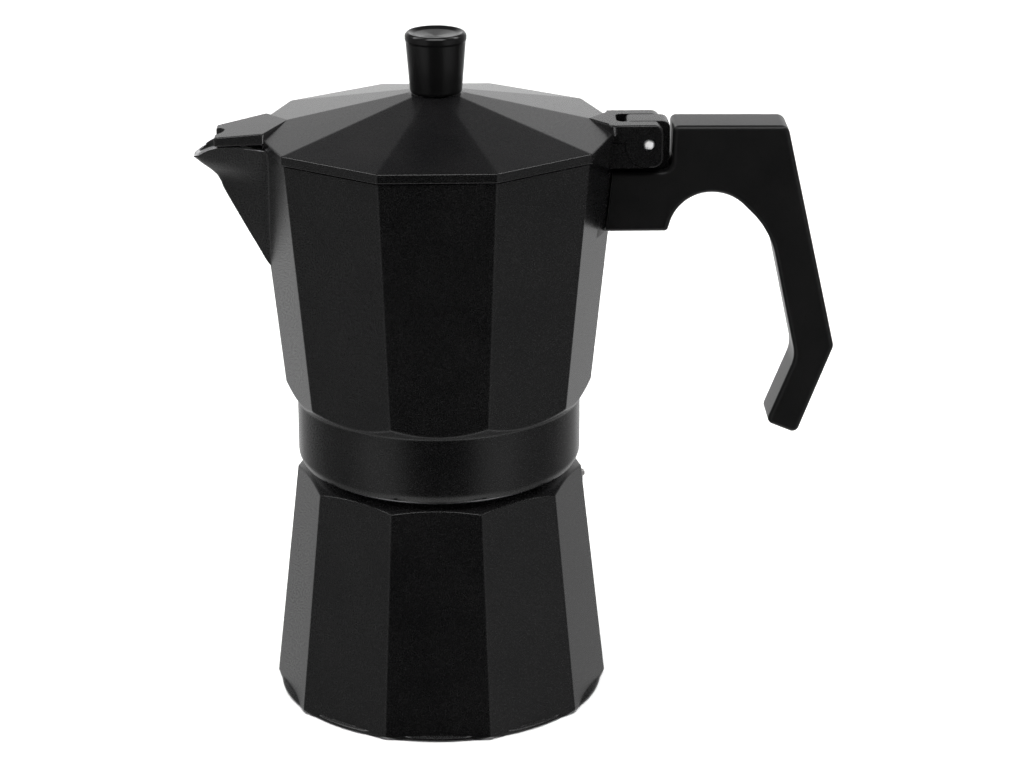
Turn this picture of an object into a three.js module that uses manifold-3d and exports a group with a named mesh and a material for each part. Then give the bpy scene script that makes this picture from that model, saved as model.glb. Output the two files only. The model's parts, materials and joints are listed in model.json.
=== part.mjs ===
// Stovetop moka pot: ten-sided boiler and upper vessel screwed together, hinged lid, side handle.
// Millimetres, +Z up, origin at the centre of the underside, +X towards the handle, -X the spout.
import * as THREE from 'three';
import { mergeVertices } from 'three/addons/utils/BufferGeometryUtils.js';
import Module from 'manifold-3d';

const wasm = await Module();
wasm.setup();

const DEG = Math.PI / 180;

// ---- Driving dimensions -------------------------------------------------------------------

const SIDES = 10;
const ROUND_STEPS = 40;                 // segments of a large turned surface
const GAP = 0.3;                        // kept between pieces that touch
const MOVING_GAP = 0.4;                 // kept between pieces that turn past each other

// Screw joint between boiler and vessel: everything round is sized from it.
const NECK_RADIUS = 37.4;               // root of the outside thread
const NECK_WALL = 3.0;
const THREAD_PITCH = 3.0;
const THREAD_DEPTH = 0.9;
const THREAD_CLEARANCE = 0.35;
const THREAD_CREST_WIDTH = 0.8;
const THREAD_BASE_WIDTH = 1.7;
const MALE_THREAD_TURNS = 2.4;
const FEMALE_THREAD_TURNS = 2.0;

// Boiler
const BOILER_HEIGHT = 68.1;             // floor to the shoulder's corner
const BOILER_LEDGE = 0.55;              // shoulder corner outside the collar
const BOILER_FLARE = 7.55;              // growth of the corner radius down to the foot
const BOILER_WALL = 3.0;
const BOILER_FLOOR = 3.5;
const BOILER_TWIST = -1.53;             // degrees the boiler's facets stand off the vessel's
const FOOT_HEIGHT = 1.0;
const FOOT_INSET = 1.25;                // round foot inside the corner radius
const SHOULDER_SLOPE = 0.488;
const NECK_HEIGHT = 13.9;               // neck's mouth above the shoulder's corner

// Collar and upper vessel
const COLLAR_WALL = 3.25;
const COLLAR_RISE = 4.1;                // collar's lower edge above the shoulder's corner
const COLLAR_HEIGHT = 19.6;
const COLLAR_CHAMFER_WIDTH = 1.2;
const COLLAR_CHAMFER_HEIGHT = 2.2;
const VESSEL_STEP = 3.37;               // facet corners outside the collar
const VESSEL_STEP_HEIGHT = 3.3;
const VESSEL_HEIGHT = 74.7;
const VESSEL_FLARE = 7.67;
const VESSEL_WALL = 2.8;
const VESSEL_FLOOR_RISE = 0.7;          // inside floor at the wall, above the collar's top
const VESSEL_FLOOR_CONE = 4.5;          // rise of the floor towards the column
const SEAT_WIDTH = 6.6;                 // of the seat that the filter plate meets
const CHAMBER_HEIGHT = 7.5;             // hollow between filter plate and column

// Funnel, filter discs, gasket
const FLANGE_INSET = 1.4;               // flange's edge inside the neck's root
const FLANGE_THICKNESS = 0.8;
const CUP_PLAY = 2.4;                   // cup's wall inside the neck's bore
const CUP_DEPTH = 24.0;
const CUP_CONE_HEIGHT = 7.0;
const FUNNEL_WALL = 0.9;
const TUBE_RADIUS = 5.6;
const TUBE_FLOOR_GAP = 5.0;             // tube's foot above the boiler's floor
const TUBE_COLLAR = 4.0;                // height of the cup's collar round its tube
const DISC_THICKNESS = 0.8;
const HOLE_RADIUS = 1.2;
const HOLE_RINGS = [1, 6, 12];          // holes in each ring of a perforated disc
const GASKET_OVERHANG = 0.6;            // gasket's edge outside the flange's
const GASKET_WIDTH = 8.1;
const GASKET_THICKNESS = 3.2;
const GASKET_ROUND = 0.6;
const PLATE_INSET = 2.6;                // filter plate's edge inside the gasket's

// Column
const COLUMN_BASE_RADIUS = 7.5;
const COLUMN_TOP_RADIUS = 5.4;
const COLUMN_BORE = 2.8;
const COLUMN_HEIGHT = 50.0;
const COLUMN_CAP = 2.5;
const SPIGOT_RADIUS = 5.0;
const BOSS_WIDTH = 3.5;                 // vessel's boss outside the column's foot

// Spout: V-shaped beak on the corner opposite the handle
const SPOUT_TOP_HALF_WIDTH = 14.9;
const SPOUT_WALL = 2.3;
const SPOUT_NOSE_RADIUS = 4.6;
// reach past the wall's corner, against height below the vessel's rim
const SPOUT_PROFILE = [[39.0, 0.15], [34.4, 1.95], [27.7, 4.9], [21.6, 7.5], [15.5, 10.1], [9.5, 12.7],
  [7.9, 14.8], [5.7, 17.9], [0.0, 20.0]];
const SPOUT_TIP_DROP = 5.7;             // lip's tip below the vessel's rim
const SPOUT_LIP_LENGTH = 13.0;          // stretch of the rim that dips towards the tip

// Lid
const LID_OVERHANG = 0.79;
const LID_RIM_HEIGHT = 2.7;
const LID_RISE = 12.0;                  // rim to the pyramid's point
const LID_THICKNESS = 2.0;
const LID_REST_WIDTH = 1.4;             // lid's flat ring inside the vessel's wall
const TAB_THICKNESS = 2.6;
const SPOUT_TAB_SLOPE = 0.162;
const SPOUT_TAB_START = 42.6;           // where the tab leaves the pyramid's ridge
const SPOUT_TAB_REACH = 9.3;            // tip of the tab past the lid's corner
const SPOUT_TAB_ROOT_HALF = 12.0;
const SPOUT_TAB_TIP_HALF = 7.4;
const SPOUT_TAB_NOTCH = 4.0;
const HINGE_TAB_START = 43.7;

// Knob and its screw
const KNOB_HEIGHT = 17.7;
const KNOB_BASE_RADIUS = 7.55;
const KNOB_TOP_RADIUS = 8.9;
const KNOB_EDGE = 1.2;
const KNOB_DISH = 1.1;
const SCREW_RADIUS = 1.9;
const SCREW_HEAD_RADIUS = 3.6;
const SCREW_HEAD_HEIGHT = 2.2;
const KNOB_SCREW_REACH = 10.0;
const INSERT_WALL = 1.3;
const INSERT_LENGTH = 8.0;

// Hinge
const HINGE_REACH = 8.06;               // pin's axis past the vessel's corner at the rim
const HINGE_DROP = 0.6;                 // pin's axis below the vessel's rim
const PIN_RADIUS = 1.6;
const PIN_CLEARANCE = 0.2;
const FORK_HALF_WIDTH = 9.3;
const LUG_HALF_WIDTH = 4.1;
const EAR_RADIUS = 6.8;
const EAR_BACK = 4.1;                   // ear's flat end behind the pin's axis
const LUG_LEFT = 6.5;
const LUG_RIGHT = 6.3;
const LUG_EDGE = 1.6;
const SLOT_END_GAP = 2.7;              // lid's slot past the lug's end
const SLOT_CORNER = 2.0;

// Handle
const HANDLE_HALF_WIDTH = 7.75;
const HANDLE_FOOT_DROP = 27.0;          // mount's lower face below the vessel's rim
const LUG_FOOT = 7.4;                   // lug's lower end above the mount's lower face
const HANDLE_SCREW_BACK = 3.0;          // screw's axis ahead of the hinge pin's axis
const SCREW_RECESS = 3.2;

// Safety valve, on the facet behind the handle
const VALVE_FACET = 18;                 // degrees round from the handle's corner
const VALVE_DROP = 8.1;                 // below the shoulder's corner
const VALVE_STEM_RADIUS = 3.6;
const VALVE_STEM_LENGTH = 6.0;
const VALVE_HEX_RADIUS = 4.8;
const VALVE_HEX_HEIGHT = 1.4;
const VALVE_NOSE_RADIUS = 3.2;
const VALVE_NOSE_HEIGHT = 0.7;
const VALVE_WASHER_THICKNESS = 0.6;
const VALVE_BORE = 2.4;
const VALVE_STEAM_HOLE = 1.0;
const PLUNGER_PIN_RADIUS = 1.1;
const PLUNGER_PIN_REACH = 1.5;          // pin's end past the valve's nose
const SPRING_WIRE = 0.25;
const SPRING_TURNS = 4;

// ---- Places worked out from them ----------------------------------------------------------

const HALF_SIDE = Math.PI / SIDES;
const TAN_SIDE = Math.tan(HALF_SIDE);
const COS_SIDE = Math.cos(HALF_SIDE);

const collarBore = NECK_RADIUS + THREAD_DEPTH + THREAD_CLEARANCE;
const collarRadius = collarBore + COLLAR_WALL;
const neckBore = NECK_RADIUS - NECK_WALL;
const boilerTopRadius = collarRadius + BOILER_LEDGE;
const boilerBaseRadius = boilerTopRadius + BOILER_FLARE;
const neckTop = BOILER_HEIGHT + NECK_HEIGHT;
const neckFoot = BOILER_HEIGHT + (boilerTopRadius - NECK_RADIUS) * SHOULDER_SLOPE;

const flangeRadius = NECK_RADIUS - FLANGE_INSET;
const cupRadius = neckBore - CUP_PLAY;
const gasketRadius = flangeRadius + GASKET_OVERHANG;
const gasketBore = gasketRadius - GASKET_WIDTH;
const plateRadius = gasketRadius - PLATE_INSET;
const seatRadius = gasketRadius - SEAT_WIDTH;
const valveHeight = BOILER_HEIGHT - VALVE_DROP;

const flangeBottom = neckTop + GAP;
const flangeTop = flangeBottom + FLANGE_THICKNESS;
const gasketBottom = flangeTop + GAP;
const gasketTop = gasketBottom + GASKET_THICKNESS;
const plateBottom = gasketTop + GAP;
const plateTop = plateBottom + DISC_THICKNESS;
const seatHeight = plateTop + GAP;

const collarBottom = BOILER_HEIGHT + COLLAR_RISE;
const collarTop = collarBottom + COLLAR_HEIGHT;
const vesselFoot = collarTop + VESSEL_STEP_HEIGHT;
const vesselTop = vesselFoot + VESSEL_HEIGHT;
const vesselFootRadius = collarRadius + VESSEL_STEP;
const vesselTopRadius = vesselFootRadius + VESSEL_FLARE;
const wallFloor = collarTop + VESSEL_FLOOR_RISE;
const bossTop = wallFloor + VESSEL_FLOOR_CONE + 2.5;

const hingeX = vesselTopRadius + HINGE_REACH;
const hingeZ = vesselTop - HINGE_DROP;

const lidBottom = vesselTop + GAP;
const lidRimTop = lidBottom + LID_RIM_HEIGHT;
const lidRadius = vesselTopRadius + LID_OVERHANG;
const lidPoint = lidRimTop + LID_RISE;
const lidSlope = LID_RISE / lidRadius;
const ridgeHeight = (x) => lidPoint - lidSlope * x;
const knobFlat = ridgeHeight(KNOB_BASE_RADIUS / COS_SIDE + 0.1);
const lidCeiling = knobFlat - LID_THICKNESS;

const boilerRadiusAt = (z) =>
  boilerTopRadius + BOILER_FLARE * (BOILER_HEIGHT - z) / (BOILER_HEIGHT - FOOT_HEIGHT);
const vesselRadiusAt = (z) => vesselFootRadius + VESSEL_FLARE * (z - vesselFoot) / VESSEL_HEIGHT;

// ---- Solids -------------------------------------------------------------------------------

// A closed three.js geometry becomes a manifold-3d solid with its faces pointing out.
function solid(geometry) {
  const bare = geometry.index ? geometry.toNonIndexed() : geometry.clone();
  bare.deleteAttribute('normal');
  bare.deleteAttribute('uv');
  const merged = mergeVertices(bare, 1e-4);
  const places = merged.attributes.position.array;
  const corners = merged.index.array;
  const kept = [];
  for (let i = 0; i < corners.length; i += 3) {
    const [a, b, c] = [corners[i], corners[i + 1], corners[i + 2]];
    if (a !== b && b !== c && c !== a) kept.push(a, b, c);
  }
  if (signedVolume(places, kept) < 0) kept.reverse();
  return new wasm.Manifold(new wasm.Mesh({
    numProp: 3, vertProperties: new Float32Array(places), triVerts: new Uint32Array(kept),
  }));
}

function signedVolume(places, corners) {
  const at = (i) => new THREE.Vector3().fromArray(places, 3 * i);
  let total = 0;
  for (let i = 0; i < corners.length; i += 3) {
    total += at(corners[i]).dot(at(corners[i + 1]).cross(at(corners[i + 2]))) / 6;
  }
  return total;
}

// A piece turned about Z from a list of [radius, height] points.
function turned(profile, steps = ROUND_STEPS) {
  const points = profile.map(([r, z]) => new THREE.Vector2(r, z));
  const onAxis = profile[0][0] === 0 && profile[profile.length - 1][0] === 0;
  if (!onAxis) points.push(points[0].clone());
  const geometry = new THREE.LatheGeometry(points, steps, Math.PI / 2);
  return solid(geometry.rotateX(Math.PI / 2));
}

const rod = (radius, z0, z1, steps = 24) => turned([[0, z0], [radius, z0], [radius, z1], [0, z1]], steps);

const ring = (outer, inner, z0, z1, steps = ROUND_STEPS) =>
  turned([[inner, z0], [outer, z0], [outer, z1], [inner, z1]], steps);

// A ten-sided frustum with corners at 0, 36, 72 ... degrees.
function faceted(radius0, z0, radius1, z1) {
  const geometry = new THREE.CylinderGeometry(radius1, radius0, z1 - z0, SIDES, 1, false, Math.PI / 2);
  return solid(geometry.rotateX(Math.PI / 2).translate(0, 0, (z0 + z1) / 2));
}

// A shape whose corners are [x, y, radius]; a radius rounds that corner with an arc.
function roundedShape(corners) {
  const shape = new THREE.Shape();
  const count = corners.length;
  corners.forEach(([x, y, radius = 0], i) => {
    const here = new THREE.Vector2(x, y);
    const before = new THREE.Vector2(...corners[(i + count - 1) % count]).sub(here).normalize();
    const after = new THREE.Vector2(...corners[(i + 1) % count]).sub(here).normalize();
    const half = Math.acos(THREE.MathUtils.clamp(before.dot(after), -1, 1)) / 2;
    const reach = radius / Math.tan(half);
    const start = here.clone().addScaledVector(before, reach);
    if (i === 0) shape.moveTo(start.x, start.y);
    else shape.lineTo(start.x, start.y);
    if (radius > 0) {
      const middle = before.clone().add(after).normalize();
      const centre = here.clone().addScaledVector(middle, radius / Math.sin(half));
      const end = here.clone().addScaledVector(after, reach);
      const a0 = Math.atan2(start.y - centre.y, start.x - centre.x);
      const a1 = Math.atan2(end.y - centre.y, end.x - centre.x);
      const turn = before.x * after.y - before.y * after.x;
      shape.absarc(centre.x, centre.y, radius, a0, a1, turn > 0);
    }
  });
  shape.closePath();
  return shape;
}

// A side view (x, z) extruded across Y from y0 to y1.
function sideSolid(shape, y0, y1, steps = 4) {
  const options = { depth: y1 - y0, curveSegments: steps, bevelEnabled: false };
  const geometry = new THREE.ExtrudeGeometry(shape, options);
  return solid(geometry.rotateX(Math.PI / 2).translate(0, y1, 0));
}

// Outlines with the same number of points, joined in order into one closed solid.
function loft(outlines) {
  const count = outlines[0].length;
  const places = outlines.flat(2);
  const faces = [];
  for (let level = 0; level + 1 < outlines.length; level += 1) {
    for (let i = 0; i < count; i += 1) {
      const a = level * count + i;
      const b = level * count + (i + 1) % count;
      faces.push(a, b, b + count, a, b + count, a + count);
    }
  }
  const top = (outlines.length - 1) * count;
  for (let i = 1; i + 1 < count; i += 1) {
    faces.push(0, i + 1, i, top, top + i, top + i + 1);
  }
  const geometry = new THREE.BufferGeometry();
  geometry.setAttribute('position', new THREE.Float32BufferAttribute(places, 3));
  geometry.setIndex(faces);
  return solid(geometry);
}

// A section of [radius, height] points swept up a right-handed helix about Z.
// depthAt moves the section's free points in and out along the way.
function helix(section, pitch, turns, z0, stepsPerTurn) {
  const count = Math.ceil(turns * stepsPerTurn);
  const outlines = [];
  for (let step = 0; step <= count; step += 1) {
    const angle = (step / count) * turns * 2 * Math.PI;
    const fade = Math.min(1, Math.min(step, count - step) / (stepsPerTurn / 8) + 0.1);
    outlines.push(section(fade).map(([r, z]) =>
      [r * Math.cos(angle), r * Math.sin(angle), z0 + z + pitch * angle / (2 * Math.PI)]));
  }
  return loft(outlines);
}

// Thread ridge: root is buried in its wall, side is +1 outwards or -1 inwards.
function threadRidge(rootRadius, side, turns, z0) {
  const section = (fade) => {
    const root = rootRadius - side * 0.4;
    const crest = rootRadius + side * THREAD_DEPTH * fade;
    const rootHalf = THREAD_BASE_WIDTH / 2;
    const crestHalf = THREAD_CREST_WIDTH / 2;
    return [[root, -rootHalf], [crest, -crestHalf], [crest, crestHalf], [root, rootHalf]];
  };
  return helix(section, THREAD_PITCH, turns, z0, ROUND_STEPS);
}

const union = (pieces) => pieces.reduce((whole, piece) => whole.add(piece));
const cut = (whole, pieces) => pieces.reduce((rest, piece) => rest.subtract(piece), whole);

// ---- Scene graph --------------------------------------------------------------------------

const pot = new THREE.Group();

const finishes = {
  coatedBlack: { color: 0x1c1c1f, roughness: 0.42, metalness: 0.6 },
  bareAluminium: { color: 0xb9bbbd, roughness: 0.35, metalness: 1.0 },
  blackPlastic: { color: 0x141415, roughness: 0.45, metalness: 0.0 },
  steel: { color: 0xc4c2bd, roughness: 0.3, metalness: 1.0 },
  brass: { color: 0xb08d4c, roughness: 0.35, metalness: 1.0 },
  silicone: { color: 0xdedad0, roughness: 0.6, metalness: 0.0 },
};

function place(name, whole, finish, parent = pot) {
  const { vertProperties, triVerts } = whole.getMesh();
  const geometry = new THREE.BufferGeometry();
  geometry.setAttribute('position', new THREE.Float32BufferAttribute(vertProperties, 3));
  geometry.setIndex(new THREE.Uint32BufferAttribute(triVerts, 1));
  geometry.computeVertexNormals();
  const mesh = new THREE.Mesh(geometry, new THREE.MeshStandardMaterial(finishes[finish]));
  mesh.name = name;
  parent.add(mesh);
}

// ---- Boiler and safety valve --------------------------------------------------------------

const boilerGroup = new THREE.Group();
boilerGroup.rotation.z = BOILER_TWIST * DEG;
pot.add(boilerGroup);

const facetSlope = BOILER_FLARE * COS_SIDE / (BOILER_HEIGHT - FOOT_HEIGHT);
const valveGroup = new THREE.Group();
valveGroup.rotation.order = 'ZYX';
valveGroup.rotation.z = VALVE_FACET * DEG;
valveGroup.rotation.y = Math.PI / 2 - Math.atan(facetSlope);
const valveApothem = boilerRadiusAt(valveHeight) * COS_SIDE;
valveGroup.position.set(
  valveApothem * Math.cos(VALVE_FACET * DEG), valveApothem * Math.sin(VALVE_FACET * DEG), valveHeight);
boilerGroup.add(valveGroup);
valveGroup.updateMatrix();

function boiler() {
  const footRadius = boilerBaseRadius - FOOT_INSET;
  const past = boilerBaseRadius + 2;
  const shoulderAt = (r) => BOILER_HEIGHT + (boilerTopRadius - r) * SHOULDER_SLOPE;
  const envelope = turned([[0, 0], [footRadius, 0], [boilerBaseRadius, FOOT_HEIGHT], [past, FOOT_HEIGHT + 2],
    [past, shoulderAt(past)], [NECK_RADIUS - 1, shoulderAt(NECK_RADIUS - 1)],
    [0, shoulderAt(NECK_RADIUS - 1)]]);
  const sides = faceted(boilerRadiusAt(0), 0, boilerRadiusAt(neckFoot + 1), neckFoot + 1);
  const foot = turned([[0, 0], [footRadius, 0], [footRadius, FOOT_HEIGHT], [footRadius - 1, FOOT_HEIGHT + 0.6],
    [0, FOOT_HEIGHT + 0.6]]);
  const neck = turned([[0, BOILER_HEIGHT - 4], [NECK_RADIUS, BOILER_HEIGHT - 4], [NECK_RADIUS, neckTop - 0.6],
    [NECK_RADIUS - 0.6, neckTop], [0, neckTop]]);
  const thread = threadRidge(NECK_RADIUS, 1, MALE_THREAD_TURNS, neckFoot + 3.0);

  const insideAt = (z) => boilerRadiusAt(z) * COS_SIDE - BOILER_WALL;
  const shoulderIn = BOILER_HEIGHT - 3.6;
  const hollow = turned([[0, BOILER_FLOOR], [insideAt(BOILER_FLOOR) - 2, BOILER_FLOOR],
    [insideAt(BOILER_FLOOR + 2), BOILER_FLOOR + 2], [insideAt(shoulderIn), shoulderIn],
    [neckBore, shoulderIn + 3], [neckBore, neckTop + 1], [0, neckTop + 1]]);
  const valveHole = rod(VALVE_STEM_RADIUS + GAP, -2 * BOILER_WALL - 2, 5)
    .transform(valveGroup.matrix.elements);
  return cut(union([sides.intersect(envelope), foot, neck, thread]), [hollow, valveHole]);
}
place('boiler', boiler(), 'coatedBlack', boilerGroup);

const washerBottom = GAP;
const hexBottom = washerBottom + VALVE_WASHER_THICKNESS + GAP;
const noseBottom = hexBottom + VALVE_HEX_HEIGHT;
const noseTop = noseBottom + VALVE_NOSE_HEIGHT;
const boreFloor = -VALVE_STEM_LENGTH + 1.2;
const capBottom = noseTop - 1.2;

function valveBody() {
  const hexagon = new THREE.CylinderGeometry(VALVE_HEX_RADIUS, VALVE_HEX_RADIUS, VALVE_HEX_HEIGHT, 6);
  const head = solid(hexagon.rotateX(Math.PI / 2).translate(0, 0, hexBottom + VALVE_HEX_HEIGHT / 2));
  const stem = rod(VALVE_STEM_RADIUS, -VALVE_STEM_LENGTH, hexBottom + 0.5);
  const nose = turned([[0, noseBottom - 0.5], [VALVE_NOSE_RADIUS, noseBottom - 0.5],
    [VALVE_NOSE_RADIUS, noseTop - 0.4], [VALVE_NOSE_RADIUS - 0.4, noseTop], [0, noseTop]], 24);
  const bore = rod(VALVE_BORE, boreFloor, noseTop + 1, 16);
  const steamHole = rod(VALVE_STEAM_HOLE, -VALVE_STEM_LENGTH - 1, boreFloor + 0.5, 12);
  return cut(union([head, stem, nose]), [bore, steamHole]);
}
place('valve_body', valveBody(), 'steel', valveGroup);
place('valve_washer', ring(VALVE_HEX_RADIUS * 0.95, VALVE_STEM_RADIUS + GAP, washerBottom,
  washerBottom + VALVE_WASHER_THICKNESS, 24), 'silicone', valveGroup);
place('valve_cap', ring(VALVE_BORE - GAP, PLUNGER_PIN_RADIUS + GAP, capBottom, noseTop - 0.1, 16),
  'steel', valveGroup);

const sealBottom = boreFloor + GAP;
const sealTop = sealBottom + 0.8;
const discBottom = sealTop + GAP;
const discTop = discBottom + 0.8;
place('valve_seal', rod(VALVE_BORE - 2 * GAP, sealBottom, sealTop, 16), 'silicone', valveGroup);
place('valve_plunger', union([rod(VALVE_BORE - 2 * GAP, discBottom, discTop, 16),
  rod(PLUNGER_PIN_RADIUS, discTop - 0.3, noseTop + PLUNGER_PIN_REACH, 12)]), 'steel', valveGroup);

function valveSpring() {
  const bottom = discTop + GAP + SPRING_WIRE;
  const top = capBottom - GAP - SPRING_WIRE;
  const coil = VALVE_BORE - 2 * GAP - SPRING_WIRE;
  const section = () => [0, 1, 2, 3, 4].map((k) => [coil + SPRING_WIRE * Math.cos(k * 72 * DEG),
    SPRING_WIRE * Math.sin(k * 72 * DEG)]);
  return helix(section, (top - bottom) / SPRING_TURNS, SPRING_TURNS, bottom, 10);
}
place('valve_spring', valveSpring(), 'steel', valveGroup);

// ---- Funnel, its filter, gasket and filter plate ------------------------------------------

const cupFloor = flangeTop - CUP_DEPTH;
const coneFoot = cupFloor - CUP_CONE_HEIGHT;
const tubeFoot = BOILER_FLOOR + TUBE_FLOOR_GAP;
const tubeBore = TUBE_RADIUS - FUNNEL_WALL;

function funnel() {
  const cupIn = cupRadius - FUNNEL_WALL;
  const collarIn = TUBE_RADIUS + GAP;
  const collarOut = collarIn + FUNNEL_WALL;
  return turned([[cupIn, flangeTop], [cupIn, cupFloor], [cupIn - 2, cupFloor - FUNNEL_WALL],
    [collarIn, coneFoot], [collarIn, coneFoot - TUBE_COLLAR], [collarOut, coneFoot - TUBE_COLLAR],
    [collarOut, coneFoot - FUNNEL_WALL / 2], [cupRadius - 2, cupFloor - 2 * FUNNEL_WALL],
    [cupRadius, cupFloor], [cupRadius, flangeBottom], [flangeRadius, flangeBottom],
    [flangeRadius, flangeTop]]);
}
place('funnel', funnel(), 'bareAluminium');
place('funnel_tube', ring(TUBE_RADIUS, tubeBore, tubeFoot, coneFoot), 'bareAluminium');

function perforatedDisc(radius, z0) {
  const spacing = (radius - 6) / HOLE_RINGS.length;
  const holes = [];
  HOLE_RINGS.forEach((count, ringIndex) => {
    for (let i = 0; i < count; i += 1) {
      const angle = (i / count) * 2 * Math.PI;
      const away = ringIndex * spacing;
      holes.push(rod(HOLE_RADIUS, z0 - 1, z0 + DISC_THICKNESS + 1, 6)
        .translate([away * Math.cos(angle), away * Math.sin(angle), 0]));
    }
  });
  return cut(rod(radius, z0, z0 + DISC_THICKNESS, ROUND_STEPS), holes);
}
place('funnel_filter', perforatedDisc(cupRadius - FUNNEL_WALL - GAP, cupFloor + GAP), 'bareAluminium');
place('filter_plate', perforatedDisc(plateRadius, plateBottom), 'bareAluminium');

place('gasket', turned([[gasketBore, gasketBottom + GASKET_ROUND], [gasketBore + GASKET_ROUND, gasketBottom],
  [gasketRadius - GASKET_ROUND, gasketBottom], [gasketRadius, gasketBottom + GASKET_ROUND],
  [gasketRadius, gasketTop - GASKET_ROUND], [gasketRadius - GASKET_ROUND, gasketTop],
  [gasketBore + GASKET_ROUND, gasketTop], [gasketBore, gasketTop - GASKET_ROUND]]), 'silicone');

// ---- Upper vessel -------------------------------------------------------------------------

// One level of the spout: a wedge with a rounded nose, from inside the wall to its reach.
function spoutOutline(drop, reach, inset, nose) {
  const z = vesselTop - drop;
  const corner = vesselRadiusAt(z);
  const height = SPOUT_PROFILE[0][0];
  const half = Math.max(0.4, SPOUT_TOP_HALF_WIDTH * (height - drop) / height) - inset * 1.1;
  const tip = corner + reach - inset * 1.25;
  const foot = corner - half * TAN_SIDE - (inset > 0 ? VESSEL_WALL + 1 : 1.2);
  const slant = Math.atan2(half, tip - foot);
  const radius = Math.min(nose, (tip - foot) * 0.3);
  const centre = tip - radius;
  const points = [[-foot, half, z], [-foot, -half, z]];
  for (let k = -2; k <= 2; k += 1) {
    const angle = (k / 2) * (Math.PI / 2 - slant);
    points.push([-(centre + radius * Math.cos(angle)), radius * Math.sin(angle), z]);
  }
  return points;
}

function spout(inset) {
  const lowest = inset > 0 ? 2 : 0;
  const levels = SPOUT_PROFILE.slice(lowest).map(([drop, reach]) =>
    spoutOutline(drop, reach, inset, SPOUT_NOSE_RADIUS * Math.min(1, reach / 15) - inset * 0.5));
  const [, topReach] = SPOUT_PROFILE[SPOUT_PROFILE.length - 1];
  if (inset > 0) levels.push(spoutOutline(-2, topReach, inset, SPOUT_NOSE_RADIUS - inset * 0.5));
  return loft(levels);
}

// Everything above the spout's dipping rim.
function aboveLip() {
  const tip = vesselTopRadius + SPOUT_PROFILE[SPOUT_PROFILE.length - 2][1];
  const shape = new THREE.Shape();
  shape.moveTo(-tip - 6, vesselTop - SPOUT_TIP_DROP - 9);
  shape.lineTo(-tip, vesselTop - SPOUT_TIP_DROP);
  shape.quadraticCurveTo(-tip + 4.2, vesselTop, -tip + SPOUT_LIP_LENGTH, vesselTop);
  shape.lineTo(-tip + SPOUT_LIP_LENGTH, vesselTop + 4);
  shape.lineTo(-tip - 6, vesselTop + 4);
  shape.closePath();
  return sideSolid(shape, -20, 20, 6);
}

// Where the handle sits: a shallow pad that evens out the two facets beside the corner.
function handlePad() {
  const level = (z) => {
    const corner = vesselRadiusAt(z);
    const face = corner - 0.7 * HANDLE_HALF_WIDTH * TAN_SIDE;
    const spread = HANDLE_HALF_WIDTH + 5.5;
    const edge = corner - spread * TAN_SIDE;
    return [[edge - 2, -spread, z], [edge, -spread, z], [face, -HANDLE_HALF_WIDTH, z],
      [face, HANDLE_HALF_WIDTH, z], [edge, spread, z], [edge - 2, spread, z]];
  };
  return loft([level(vesselTop - HANDLE_FOOT_DROP), level(hingeZ - EAR_RADIUS - 1.3)]);
}

const padFace = (z) => vesselRadiusAt(z) - 0.7 * HANDLE_HALF_WIDTH * TAN_SIDE;
const lugFoot = vesselTop - HANDLE_FOOT_DROP + LUG_FOOT;
const slotRoot = hingeX - LUG_LEFT - SLOT_END_GAP;
const hingeTabTop = ridgeHeight(HINGE_TAB_START);
const screwX = hingeX - HANDLE_SCREW_BACK;
const screwTop = lugFoot + 8;

const acrossY = (radius, y0, y1, steps) =>
  rod(radius, y0, y1, steps).rotate([-90, 0, 0]).translate([hingeX, 0, hingeZ]);

function hingeBracket() {
  const wallIn = vesselTopRadius - VESSEL_WALL - 3.5;
  const cheekFoot = hingeZ - EAR_RADIUS;
  const block = sideSolid(roundedShape([[wallIn, cheekFoot], [hingeX, cheekFoot], [hingeX, vesselTop],
    [wallIn, vesselTop]]), -FORK_HALF_WIDTH, FORK_HALF_WIDTH);
  const earRoom = [-1, 1].map((side) => {
    const from = LUG_HALF_WIDTH + MOVING_GAP / 2;
    const [y0, y1] = side < 0 ? [-FORK_HALF_WIDTH - 1, -from] : [from, FORK_HALF_WIDTH + 1];
    return acrossY(EAR_RADIUS + MOVING_GAP, y0, y1, 48);
  });
  const lug = sideSolid(roundedShape([[wallIn, lugFoot], [hingeX + LUG_RIGHT, lugFoot, LUG_EDGE],
    [hingeX + LUG_RIGHT, hingeTabTop, LUG_EDGE], [hingeX - LUG_LEFT, hingeTabTop, LUG_EDGE],
    [hingeX - LUG_LEFT, vesselTop], [wallIn, vesselTop]]), -LUG_HALF_WIDTH, LUG_HALF_WIDTH);
  const pinHole = acrossY(PIN_RADIUS + PIN_CLEARANCE, -LUG_HALF_WIDTH - 1, LUG_HALF_WIDTH + 1, 16);
  const screwHole = rod(SCREW_RADIUS + GAP, lugFoot - 1, screwTop + GAP, 16).translate([screwX, 0, 0]);
  return cut(union([cut(block, earRoom), lug]), [pinHole, screwHole]);
}

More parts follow.
